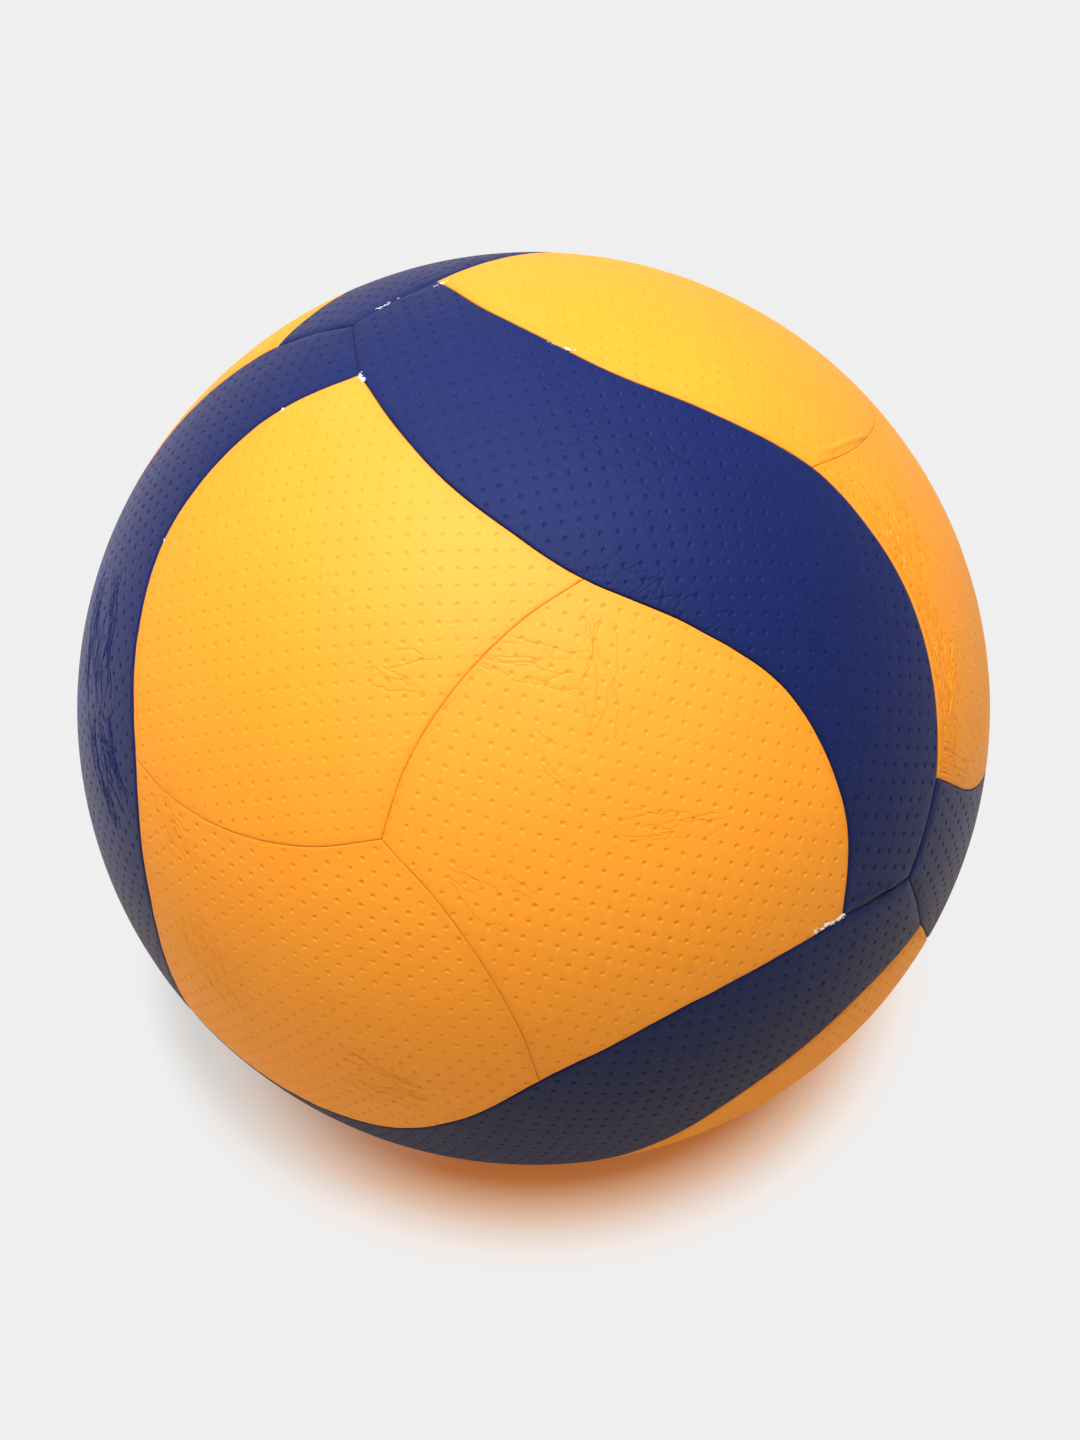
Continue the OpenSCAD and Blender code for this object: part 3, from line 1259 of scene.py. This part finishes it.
@dataclass(frozen=True)
class Foam(Finish):
    """Closed-cell foam bonded to a knitted backing: off-white and matt, with tiny round hollow cells painted
    darker as painted shade.

    Attributes:
        cell_mm: Size of a cell in millimetres.
    """

    cell_mm: float

    def inputs(self, tree: Tree, place: Socket) -> dict[str, Any]:
        """Works out the shader's inputs.

        Args:
            tree: The material's node tree.
            place: The place on the object.

        Returns:
            A value or an output for each input.
        """
        cells = {"Vector": place, "Scale": per_metre(self.cell_mm), "Randomness": 0.9}
        hollow = add(tree, "TexVoronoi", cells).outputs["Distance"]
        bump = add(tree, "Bump", {"Height": hollow, "Strength": 0.5, "Distance": 0.2 * self.cell_mm * MM})
        # The cell hollows take the darker second colour as painted shade
        colour = self.mixed(tree, hollow, 0.6, 0.1)
        return {"Base Color": colour, "Roughness": 0.92, "IOR": 1.45, "Normal": bump.outputs["Normal"]}


@dataclass(frozen=True)
class Thread(Finish):
    """Nylon thread, wound crosswise under tension: white and slightly glossy, with painted shade between the
    turns.

    Attributes:
        thread_mm: Distance between two turns in millimetres.
    """

    thread_mm: float

    def inputs(self, tree: Tree, place: Socket) -> dict[str, Any]:
        """Works out the shader's inputs.

        Args:
            tree: The material's node tree.
            place: The place on the object.

        Returns:
            A value or an output for each input.
        """
        scale = per_metre(self.thread_mm) / (2 * math.pi)
        wave = {"Vector": place, "Scale": scale, "Distortion": 1.5, "Detail": 2.0}
        turns = [add(tree, "TexWave", wave, bands_direction=way).outputs["Fac"] for way in ("X", "DIAGONAL")]
        crossed = add(tree, "Math", {0: turns[0], 1: turns[1]}, operation="MAXIMUM").outputs[0]
        bump = add(tree, "Bump", {"Height": crossed, "Strength": 0.7, "Distance": 0.3 * self.thread_mm * MM})
        # The darker second colour between the turns is painted shade
        colour = self.mixed(tree, crossed, 1.0, 0.0)
        return {"Base Color": colour, "Roughness": 0.45, "IOR": 1.53, "Normal": bump.outputs["Normal"]}


@dataclass(frozen=True)
class Fibre(Finish):
    """Loose fibres of the backing knit, pulled out at a seam: white, matt, and soiled in places."""

    def inputs(self, tree: Tree, place: Socket) -> dict[str, Any]:
        """Works out the shader's inputs.

        Args:
            tree: The material's node tree.
            place: The place on the object.

        Returns:
            A value or an output for each input.
        """
        dirt = add(tree, "TexNoise", {"Vector": place, "Scale": per_metre(1.2), "Detail": 3.0}).outputs["Fac"]
        colour = self.mixed(tree, dirt, 0.45, 0.75)
        return {"Base Color": colour, "Roughness": 0.8, "IOR": 1.5, "Sheen Weight": 0.3}


# The third colour of each leather is painted shade for its dimples and creases, and also darkens it beside
# the seams
YELLOW_LEATHER = PuLeather("yellow_pu_leather", "#F79B2A", "#F89826", "#C9660C", 0.45, 0.24, 0.14)
BLUE_LEATHER = PuLeather(
    "blue_pu_leather", "#162256", "#152153", "#0B1132", 0.46, 0.09, 0.22, sheen=0.21, sheen_tint="#8F9DF0"
)
# The foam's second colour is painted shade in its cell hollows
BACKING_FOAM = Foam("white_foam_and_knit", "#E9E7E0", "#C9C6BC", cell_mm=0.35)
CARCASS_RUBBER = Rubber("tan_natural_rubber", "#B08C5C", "#CDB48C", roughness=0.7, grain_mm=0.8)
# The thread's second colour is painted shade between its turns
WINDING_THREAD = Thread("white_nylon_thread", "#EDEBE4", "#A9A69C", thread_mm=0.45)
BLADDER_RUBBER = Rubber("black_butyl_rubber", "#1D1D20", "#4A4845", roughness=0.55, grain_mm=1.2)
VALVE_RUBBER = Rubber("black_valve_rubber", "#202124", "#55534F", roughness=0.5, grain_mm=0.3)
CORE_RUBBER = Rubber("soft_core_rubber", "#303136", "#6A6863", roughness=0.42, grain_mm=0.25)
SEAM_FIBRE = Fibre("white_seam_fibre", "#F4F6F8", "#DADEE6")


@dataclass
class Cover:
    """The eighteen leather panels, turned as the ball lies.

    Attributes:
        maker: Makes the panels' solids.
        plans: What sets each panel apart.
        lie: Degrees that the ball leans about X and Y and turns about Z.
    """

    maker: PanelMaker
    plans: Sequence[PanelPlan]
    lie: tuple[float, float, float] = (12.7, 19.3, 8.2)

    @property
    def lying(self) -> Array:
        """The turn from the cube's frame to the ball as it lies, for rows of vectors."""
        turn = Euler([math.radians(a) for a in self.lie], "XYZ").to_matrix()
        return np.array(turn).T

    def build(self) -> list[bpy.types.Object]:
        """Makes and dresses every panel.

        Returns:
            One object a panel.
        """
        leather = {Kind.YELLOW: YELLOW_LEATHER.build(), Kind.BLUE: BLUE_LEATHER.build()}
        foam = BACKING_FOAM.build()
        made = []
        for plan in self.plans:
            shape = self.maker.make(plan)
            turned = shape.points @ self.maker.pattern.place(plan.kind, plan.index - 1) @ self.lying * MM
            finishes = [leather[plan.kind], foam]
            piece = mesh_piece(f"leather_{plan.name}", turned, shape.faces, finishes, shape.inner)
            for key, values in shape.marks.items():
                marks = piece.data.attributes.new(key, "FLOAT", "POINT")
                marks.data.foreach_set("value", values.astype(np.float32))
            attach(piece, "root")
            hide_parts(plan.name)
            log.info("%s: %d points, %d triangles", piece.name, len(shape.points), len(shape.faces))
            made.append(piece)
        return made


def mesh_piece(
    name: str,
    points: Array,
    faces: Array,
    materials: Sequence[bpy.types.Material],
    second: Array | None = None,
) -> bpy.types.Object:
    """Makes a smooth-shaded object from triangles.

    Args:
        name: Name of the object.
        points: Its points in metres, one a row.
        faces: Its triangles.
        materials: Its materials.
        second: Whether each triangle takes the second material.

    Returns:
        The object, in the scene.
    """
    mesh = bpy.data.meshes.new(name)
    mesh.vertices.add(len(points))
    mesh.vertices.foreach_set("co", points.astype(np.float32).ravel())
    mesh.loops.add(3 * len(faces))
    mesh.loops.foreach_set("vertex_index", faces.astype(np.int32).ravel())
    mesh.polygons.add(len(faces))
    mesh.polygons.foreach_set("loop_start", np.arange(0, 3 * len(faces), 3, dtype=np.int32))
    for material in materials:
        mesh.materials.append(material)
    if second is not None:
        mesh.polygons.foreach_set("material_index", second.astype(np.int32))
    mesh.update(calc_edges=True)
    mesh.validate()
    mesh.shade_smooth()
    mesh.set_sharp_from_angle(angle=SHARP_ANGLE)
    piece = bpy.data.objects.new(name, mesh)
    bpy.context.scene.collection.objects.link(piece)
    return piece


@dataclass(frozen=True)
class FrayPlace:
    """A place at a seam where the backing shows, white, between two leathers.

    Attributes:
        kind: Kind of the panel whose map the place is given on.
        index: Index of that panel, counted from 1.
        at: The middle of the place on the map, in millimetres.
        size: Its length and width.
        angle: Degrees from the map's first axis to its length.
        fibres: Number of loose fibres.
        flakes: Number of torn flakes.
    """

    kind: Kind
    index: int
    at: tuple[float, float]
    size: tuple[float, float]
    angle: float
    fibres: int
    flakes: int


@dataclass
class SeamFray:
    """White fibres and flakes of the backing that stand out of the seams.

    Attributes:
        cover: The cover that they stand out of.
        places: Where they are.
        fibre_mm: Radius of a fibre.
        sink_mm: How far the places lie below the ball's surface.
        seed: Seed of everything that varies.
        rings: Rings of points along a fibre.
        sides: Points round a fibre.
        flake_points: Points round a flake.
    """

    cover: Cover
    places: Sequence[FrayPlace]
    fibre_mm: float = 0.055
    sink_mm: float = 0.12
    seed: int = 5
    rings: int = 6
    sides: int = 4
    flake_points: int = 11

    def build(self) -> list[bpy.types.Object]:
        """Makes and dresses the frayed places.

        Returns:
            One object a place.
        """
        finish = SEAM_FIBRE.build()
        made = []
        for number, place in enumerate(self.places, 1):
            rng = np.random.default_rng([self.seed, number])
            parts = [self.fibre(place, rng) for _ in range(place.fibres)]
            parts += [self.flake(place, rng) for _ in range(place.flakes)]
            points, faces, first = [], [], 0
            for part_points, part_faces in parts:
                points.append(part_points)
                faces.append(part_faces + first)
                first += len(part_points)
            placed = self.placed(place, np.vstack(points))
            piece = mesh_piece(f"seam_fray_{number}", placed, np.vstack(faces), [finish])
            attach(piece, "root")
            log.info("%s: %d fibres, %d flakes", piece.name, place.fibres, place.flakes)
            made.append(piece)
        return made

    def placed(self, place: FrayPlace, points: Array) -> Array:
        """Points above a panel's map, brought to the ball as it lies.

        Args:
            place: The place.
            points: Two map coordinates and a height, in millimetres, one a row.

        Returns:
            Points in metres.
        """
        maker = self.cover.maker
        dirs = maker.charts[place.kind].to_dirs(points[:, :2])
        turned = dirs @ maker.pattern.place(place.kind, place.index - 1) @ self.cover.lying
        return turned * (maker.radius - self.sink_mm + points[:, 2:]) * MM

    def spot(self, place: FrayPlace, rng: np.random.Generator) -> Array:
        """A random spot of the place, thicker towards its middle line.

        Args:
            place: The place.
            rng: Seeded random source.

        Returns:
            The spot, on the surface that the fibres stand on.
        """
        along = rng.uniform(-0.5, 0.5) * place.size[0]
        across = np.clip(rng.normal(0, 0.28), -0.5, 0.5) * place.size[1]
        return np.array([*set_out(place.at, along, across, place.angle), 0.0])

    def fibre(self, place: FrayPlace, rng: np.random.Generator) -> tuple[Array, Array]:
        """A short curved fibre, as a closed tube that tapers to both ends.

        Args:
            place: The place.
            rng: Seeded random source.

        Returns:
            Its points above the map, and its triangles.
        """
        rings, sides = self.rings, self.sides
        length, heading, bend = rng.uniform(0.5, 1.5), rng.uniform(0, 2 * math.pi), rng.normal(0, 0.5)
        middle = [self.spot(place, rng)]
        for k in range(1, rings):
            heading += bend
            rise = rng.uniform(0.1, 0.4) * math.sin(math.pi * k / (rings - 1))
            middle.append(np.array([*(middle[-1][:2] + length / rings * bearing(heading)), rise]))
        points = []
        for k, at in enumerate(middle):
            thick = self.fibre_mm * (0.45 + 0.55 * math.sin(math.pi * k / (rings - 1)))
            ahead = middle[min(k + 1, rings - 1)] - middle[max(k - 1, 0)]
            side = unit(np.cross(ahead, [0, 0, 1]) + 1e-9)
            up = unit(np.cross(side, ahead))
            for turn in np.arange(sides) * 2 * math.pi / sides:
                points.append(at + thick * (math.cos(turn) * side + math.sin(turn) * up))
        faces = []
        for k in range(rings - 1):
            faces += band(sides, sides, k * sides)
        last = (rings - 1) * sides
        faces += [(0, k + 1, k) for k in range(1, sides - 1)]
        faces += [(last, last + k, last + k + 1) for k in range(1, sides - 1)]
        return np.array(points), np.array(faces)

    def flake(self, place: FrayPlace, rng: np.random.Generator) -> tuple[Array, Array]:
        """A torn flake, as a closed, slightly domed plate with a ragged edge.

        Args:
            place: The place.
            rng: Seeded random source.

        Returns:
            Its points above the map, and its triangles.
        """
        count, reach = self.flake_points, rng.uniform(0.3, 0.75)
        turns = np.arange(count) * 2 * math.pi / count
        radii = reach * rng.uniform(0.5, 1.15, count)
        narrow = rng.uniform(0.5, 1.0)
        rise = rng.uniform(0.0, 0.12, count)
        ring = np.stack([np.cos(turns) * radii, np.sin(turns) * radii * narrow, rise], axis=1)
        at = self.spot(place, rng)
        peak, base = at + [0.0, 0.0, rng.uniform(0.12, 0.3)], at - [0.0, 0.0, 0.15]
        faces = []
        for i, j in closed_pairs(count):
            faces += [(i, j, count), (j, i, count + 1)]
        return np.vstack([ring + at, peak, base]), np.array(faces)


@dataclass(frozen=True)
class Dressing:
    """CAD nodes whose shape is right as it is, and the finish that they take.

    Attributes:
        nodes: Names of the nodes.
        finish: What they are made of.
    """

    nodes: tuple[str, ...]
    finish: Finish

    def apply(self) -> None:
        """Gives each node its finish."""
        material = self.finish.build()
        for name in self.nodes:
            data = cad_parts[name].data
            data.materials.clear()
            data.materials.append(material)
            log.info("%s: %s", name, material.name)


PANEL_COUNTS = {Kind.YELLOW: 12, Kind.BLUE: 6}
BACKINGS = tuple(f"{kind.value}_backing_{i}" for kind in Kind for i in range(1, PANEL_COUNTS[kind] + 1))
INNER_LAYERS = (
    Dressing(BACKINGS, BACKING_FOAM),
    Dressing(("carcass",), CARCASS_RUBBER),
    Dressing(("thread_winding",), WINDING_THREAD),
    Dressing(("bladder",), BLADDER_RUBBER),
    Dressing(("valve_housing",), VALVE_RUBBER),
    Dressing(("valve_core",), CORE_RUBBER),
)


@dataclass(frozen=True)
class Studio:
    """A pale floor, plain soft light and the camera at the photograph's angle.

    Attributes:
        radius: Radius of the ball in metres.
        elevation: Degrees that the camera looks down.
        distance: Distance of the camera from the ball's centre, in radii.
        focal_px: Focal length in pixels of the 1080 by 1440 picture.
        picture_px: Width and height of that picture.
        ball_px: Where the ball's centre lies in it.
        backdrop: Colour of the floor and backdrop as the camera sees them.
        shadow: Painted shadow that the camera sees on the card under the ball's left, where no bounce light
            is painted.
        glow: Painted shadow tinted with painted orange bounce light, which the camera sees on the card under
            the ball's right: colours from the ball outwards, and where they lie.
        reaches: Where bands of the card begin and end, in metres from the ball's foot, and how.
        floor_rings: Radii of the floor's rings of points, in metres.
        floor_points: Points in each of them.
        lamps: Name, place, diameter and power of each soft box, in metres and watts.
    """

    radius: float
    elevation: float = 55.0
    distance: float = 8.3
    focal_px: float = 3761.0
    picture_px: tuple[float, float] = (1080.0, 1440.0)
    ball_px: tuple[float, float] = (533.7, 708.5)
    backdrop: str = "#EFEFEF"
    shadow: str = "#D2CECB"
    glow: tuple[tuple[float, str], ...] = (
        (0.155, "#BC6E38"),
        (0.41, "#C57B45"),
        (0.545, "#DEAF8C"),
        (0.664, "#EACAB5"),
        (0.736, "#ECD9CC"),
        (0.866, "#F3EAE5"),
    )
    reaches: tuple[tuple[float, float, str], ...] = (
        (0.09, 0.068, "LINEAR"),
        (0.049, 0.093, "LINEAR"),
        (0.08, 0.094, "SMOOTHSTEP"),
        (0.039, 0.088, "SMOOTHSTEP"),
    )
    floor_rings: tuple[float, ...] = (0.105, 0.21, 1.0, 6.0)
    floor_points: int = 96
    lamps: tuple[tuple[str, tuple[float, float, float], float, float], ...] = (
        ("overhead_soft_box", (-0.1, 0.1, 1.5), 1.2, 45.0),
        ("back_soft_box", (-0.7, 1.5, 1.0), 0.8, 10.0),
    )

    def camera(self) -> bpy.types.Object:
        """Makes the camera.

        Returns:
            The camera.
        """
        data = bpy.data.cameras.new("camera")
        data.sensor_width = 36.0
        data.lens = self.focal_px / self.picture_px[1] * data.sensor_width
        data.clip_start, data.clip_end = 0.01, 50.0
        camera = bpy.data.objects.new("camera", data)
        pitch = math.radians(self.elevation)
        right = Vector((1, 0, 0))
        up = Vector((0, math.sin(pitch), math.cos(pitch)))
        back = Vector((0, -math.cos(pitch), math.sin(pitch)))
        reach = self.distance * self.radius
        aside = (self.ball_px[0] - self.picture_px[0] / 2) / self.focal_px * reach
        below = (self.ball_px[1] - self.picture_px[1] / 2) / self.focal_px * reach
        camera.location = back * reach - right * aside + up * below
        camera.rotation_euler = (math.pi / 2 - pitch, 0, 0)
        bpy.context.scene.collection.objects.link(camera)
        bpy.context.scene.camera = camera
        return camera

    def floor(self) -> bpy.types.Object:
        """Makes the floor: matt white card that the camera sees as an even backdrop, away from the ball.

        Returns:
            The floor.
        """
        count, foot = self.floor_points, -self.radius
        flat = [np.zeros((1, 2)), *(reach * circle(count) for reach in self.floor_rings)]
        points = np.pad(np.vstack(flat), ((0, 0), (0, 1)), constant_values=foot)
        faces = [(0, i, j) for i, j in closed_pairs(count, 1)]
        for k in range(len(self.floor_rings) - 1):
            for i, j in closed_pairs(count, 1 + count * k):
                faces += [(i, count + i, count + j), (i, count + j, j)]
        floor = mesh_piece("floor", points, np.array(faces), [self.card()])
        return floor

    def card(self) -> bpy.types.Material:
        """Makes the floor's card: right round the ball the camera sees it lit, with the real shadow, and on
        the right tinted orange as painted bounce light; a little further out the camera sees a painted
        shadow, orange on the right as painted bounce light, then it is even.

        Returns:
            The material.
        """
        material, tree = blank_material("white_card")
        place = add(tree, "NewGeometry", {}).outputs["Position"]
        # The bands are slightly wider than deep, as the ball's shadow is
        flat = add(tree, "VectorMath", {0: place, 1: (0.92, 1.0, 0.0)}, operation="MULTIPLY").outputs[0]
        reach = add(tree, "VectorMath", {0: flat}, operation="LENGTH").outputs["Value"]
        bands = []
        for start, end, ease in self.reaches:
            span = {"Value": reach, "From Min": start, "From Max": end}
            bands.append(add(tree, "MapRange", span, interpolation_type=ease).outputs[0])
        near, along, far, even = bands
        # The left of the ball is blue near the card, so only the front and the right of the card get the
        # painted orange bounce light
        side = add(tree, "VectorMath", {0: place, 1: (0.5, -0.87, 0.0)}, operation="DOT_PRODUCT")
        rightwards = {"Value": side.outputs["Value"], "From Min": -0.02, "From Max": 0.045}
        warm_side = add(tree, "MapRange", rightwards).outputs[0]
        # How far the card near the ball's right takes the painted orange bounce light
        painted_bounce = add(tree, "Math", {0: near, 1: warm_side}, operation="MULTIPLY").outputs[0]
        # The ramp holds painted shadow tinted with painted orange bounce light, fading to the backdrop
        ramp = add(tree, "ValToRGB", {"Fac": along})
        stops = ramp.color_ramp.elements
        stops[0].position, stops[0].color = self.glow[0][0], linear(self.glow[0][1])
        stops[1].position, stops[1].color = 1.0, linear(self.backdrop)
        for at, colour in self.glow[1:]:
            stops.new(at).color = linear(colour)
        # On the left the card shows a painted grey shadow that fades to the backdrop
        greys = {"Factor": far, "A": linear(self.shadow), "B": linear(self.backdrop)}
        painted_grey_shadow = add(tree, "Mix", greys, data_type="RGBA").outputs["Result"]
        both = {"Factor": warm_side, "A": painted_grey_shadow, "B": ramp.outputs["Color"]}
        painted_shadow_and_bounce = add(tree, "Mix", both, data_type="RGBA").outputs["Result"]
        seen = add(tree, "LightPath", {}).outputs["Is Camera Ray"]
        share = add(tree, "Math", {0: even, 1: seen}, operation="MULTIPLY").outputs[0]
        # Near the ball's right the card's own colour is tinted orange as painted bounce light; the lamps
        # still cast the real shadow on it
        white, painted_bounce_card, dull = (
            add(tree, "BsdfDiffuse", {"Color": linear(colour), "Roughness": 0.3}).outputs[0]
            for colour in ("#F2F2F2", "#FFBC6E", "#D8C89C")
        )
        lit = add(tree, "MixShader", {0: painted_bounce, 1: white, 2: painted_bounce_card}).outputs[0]
        matt = add(tree, "MixShader", {0: seen, 1: dull, 2: lit}).outputs[0]
        plain = add(tree, "Emission", {"Color": painted_shadow_and_bounce, "Strength": 1.0}).outputs[0]
        mixed = add(tree, "MixShader", {0: share, 1: matt, 2: plain})
        add(tree, "OutputMaterial", {"Surface": mixed.outputs[0]})
        return material

    def world(self) -> None:
        """Sets the even backdrop for the camera, and a low fill for everything else."""
        world = bpy.data.worlds.new("studio")
        bpy.context.scene.world = world
        world.use_nodes = True
        tree = world.node_tree
        tree.nodes.clear()
        seen = add(tree, "LightPath", {}).outputs["Is Camera Ray"]
        fill = add(tree, "Background", {"Color": linear("#F4F6FA"), "Strength": 0.2})
        plain = add(tree, "Background", {"Color": linear(self.backdrop), "Strength": 1.0})
        mixed = add(tree, "MixShader", {0: seen, 1: fill.outputs[0], 2: plain.outputs[0]})
        add(tree, "OutputWorld", {"Surface": mixed.outputs[0]})

    def lamp(
        self, name: str, place: tuple[float, float, float], size: float, watts: float
    ) -> bpy.types.Object:
        """Makes a round soft box that faces the ball.

        Args:
            name: Name of the lamp.
            place: Where it hangs, in metres.
            size: Its diameter in metres.
            watts: Its power.

        Returns:
            The lamp.
        """
        data = bpy.data.lights.new(name, "AREA")
        data.shape, data.size, data.energy = "DISK", size, watts
        lamp = bpy.data.objects.new(name, data)
        lamp.location = place
        lamp.rotation_euler = (-Vector(place)).to_track_quat("-Z", "Y").to_euler()
        bpy.context.scene.collection.objects.link(lamp)
        return lamp

    def build(self) -> None:
        """Makes the whole studio."""
        bpy.context.scene.view_settings.view_transform = "Standard"
        self.camera()
        self.floor()
        self.world()
        for lamp in self.lamps:
            self.lamp(*lamp)
        log.info("studio: camera, floor, world and lamps")


def seen_plans() -> dict[tuple[Kind, int], PanelPlan]:
    """The panels that the photograph shows well, with their own dimples and creases.

    Returns:
        A plan for each of them, by kind and index.
    """
    yellow, blue = Kind.YELLOW, Kind.BLUE
    web, rows, patch = CreaseStyle.WEB, CreaseStyle.ROWS, CreasePatch
    top_fold = [(10.5, -54.5), (16.0, -52.0), (21.5, -47.6), (27.0, -43.2), (31.5, -38.8)]
    low_ridge = [(92.0, -17.5), (94.4, -12.6), (96.4, -8.6), (98.8, -4.0)]
    far_ridge = [(89.3, 13.6), (92.0, 9.6), (94.6, 6.1), (97.2, 2.4)]
    plans = [
        PanelPlan(yellow, 1, Dimples(78.0, (1.16, -0.70)), (
            patch((4.4, -36.0), (42.0, 4.0), 94.0, 5, 0.1, rows),
            patch((20.0, -39.0), (36.0, 10.0), 6.0, 8, 0.1, rows),
            patch((12.0, -20.0), (20.0, 7.0), 133.0, 5, 0.09, rows),
            patch((-11.0, -12.0), (28.0, 9.0), 4.0, 6, 0.1, rows),
            patch((24.0, 6.0), (26.0, 8.0), 156.0, 7, 0.1, rows),
        )),
        PanelPlan(yellow, 6, Dimples(76.0, (1.61, 1.84), depth=0.15), (
            patch((16.5, 17.0), (22.0, 9.0), 61.0, 6, 0.09, rows),
        )),
        PanelPlan(yellow, 11, Dimples(76.0, (-0.68, 1.61)), (
            patch((6.0, 40.0), (24.0, 8.0), 81.0, 14, 0.12, rows),
            patch((-10.5, 13.5), (36.0, 12.0), 68.0, 14, 0.1, rows),
            patch((-14.0, -30.0), (30.0, 14.0), 102.0, 20, 0.12, rows),
        )),
        PanelPlan(yellow, 8, Dimples(74.0, (0.4, 1.1)), (
            patch((-5.0, 32.0), (27.0, 14.0), 26.0, 24, 0.24, rows, 0.25),
            patch((-34.0, 19.0), (34.0, 9.0), 26.0, 16, 0.2, rows, 0.24),
        ), gathers=((0.52, 0.72, 1.2, 9.0, 34),)),
        PanelPlan(yellow, 4, Dimples(75.0, (-1.2, 0.3), depth=0.12), (), (
            Stroke(np.array(top_fold), -0.32, 0.6),
        )),
        PanelPlan(blue, 1, Dimples(51.0, (1.84, 0.15), 3.77, depth=0.2), (
            patch((6.0, -22.5), (46.0, 9.0), 28.0, 40, 0.08, web),
            patch((-93.0, 10.0), (12.0, 6.0), 0.0, 14, 0.05, web),
            patch((-20.0, -3.0), (60.0, 16.0), 14.0, 16, 0.03, rows),
            patch((36.0, 5.0), (44.0, 16.0), 3.0, 12, 0.03, rows),
            patch((60.0, -14.0), (30.0, 8.0), 8.0, 14, 0.08, web),
        ), (Stroke(np.array(low_ridge), -0.4, 0.6),)),
        PanelPlan(blue, 5, Dimples(51.0, (-0.9, 1.3), 3.77), (
            patch((9.5, 0.5), (38.0, 18.0), 28.0, 24, 0.2, rows, 0.24),
            patch((-15.0, -16.0), (34.0, 16.0), 47.0, 26, 0.2, rows, 0.24),
        )),
        PanelPlan(blue, 6, Dimples(50.0, (0.44, -1.43), 3.77, depth=0.2), (
            patch((80.0, 6.0), (26.0, 10.0), 8.0, 12, 0.06, web),
        ), (Stroke(np.array(far_ridge), -0.2, 0.4),)),
    ]
    return {(plan.kind, plan.index): plan for plan in plans}


VALVE_PANEL = (Kind.BLUE, 3)
VALVE_HOLE_RADIUS = 3.6
UNSEEN_SEED = 210


def panel_plans() -> list[PanelPlan]:
    """Every panel of the cover. The unseen ones get seeded dimples and a few light creases.

    Returns:
        One plan a panel.
    """
    rng = np.random.default_rng(UNSEEN_SEED)
    seen, plans = seen_plans(), []
    for kind, angle, pitch, spread in ((Kind.YELLOW, 76.0, 3.8, 30.0), (Kind.BLUE, 51.0, 3.77, 14.0)):
        for index in range(1, PANEL_COUNTS[kind] + 1):
            shift = tuple(rng.uniform(-1.9, 1.9, 2))
            patches = []
            for _ in range(3):
                middle, turn = tuple(rng.uniform(-spread, spread, 2)), rng.uniform(0, 180)
                patches.append(CreasePatch(middle, (24.0, 8.0), turn, 5, 0.05))
            start = rng.uniform(0.25, 0.6)
            gathers = ((start, start + 0.14, 1.2, 5.0, 5),)
            hole = VALVE_HOLE_RADIUS if (kind, index) == VALVE_PANEL else 0.0
            fresh = PanelPlan(kind, index, Dimples(angle, shift, pitch), tuple(patches), (), gathers, hole)
            plans.append(seen.get((kind, index), fresh))
    return plans


FRAY_PLACES = (
    FrayPlace(Kind.YELLOW, 1, (-55.0, 16.9), (8.5, 0.8), -161.0, 34, 30),
    FrayPlace(Kind.YELLOW, 6, (-57.3, 16.6), (3.0, 0.7), 12.0, 10, 4),
    FrayPlace(Kind.BLUE, 1, (-91.9, 20.6), (3.0, 0.8), 90.0, 8, 3),
    FrayPlace(Kind.BLUE, 1, (-51.0, 11.7), (9.0, 0.4), 16.0, 8, 2),
    FrayPlace(Kind.BLUE, 1, (-97.4, 9.4), (7.0, 0.5), 72.0, 8, 2),
    FrayPlace(Kind.YELLOW, 6, (-56.4, -3.4), (1.2, 0.5), 44.0, 3, 2),
    FrayPlace(Kind.YELLOW, 6, (-36.4, -38.5), (1.2, 0.5), 37.0, 3, 1),
)


def main() -> None:
    """Builds the ball and its studio."""
    logging.basicConfig(level=logging.INFO, format="%(message)s")
    cover = Cover(PanelMaker(SeamPattern(), BALL_RADIUS / MM), panel_plans())
    cover.build()
    SeamFray(cover, FRAY_PLACES).build()
    for layer in INNER_LAYERS:
        layer.apply()
    Studio(BALL_RADIUS).build()


if __name__ == "__main__":
    main()
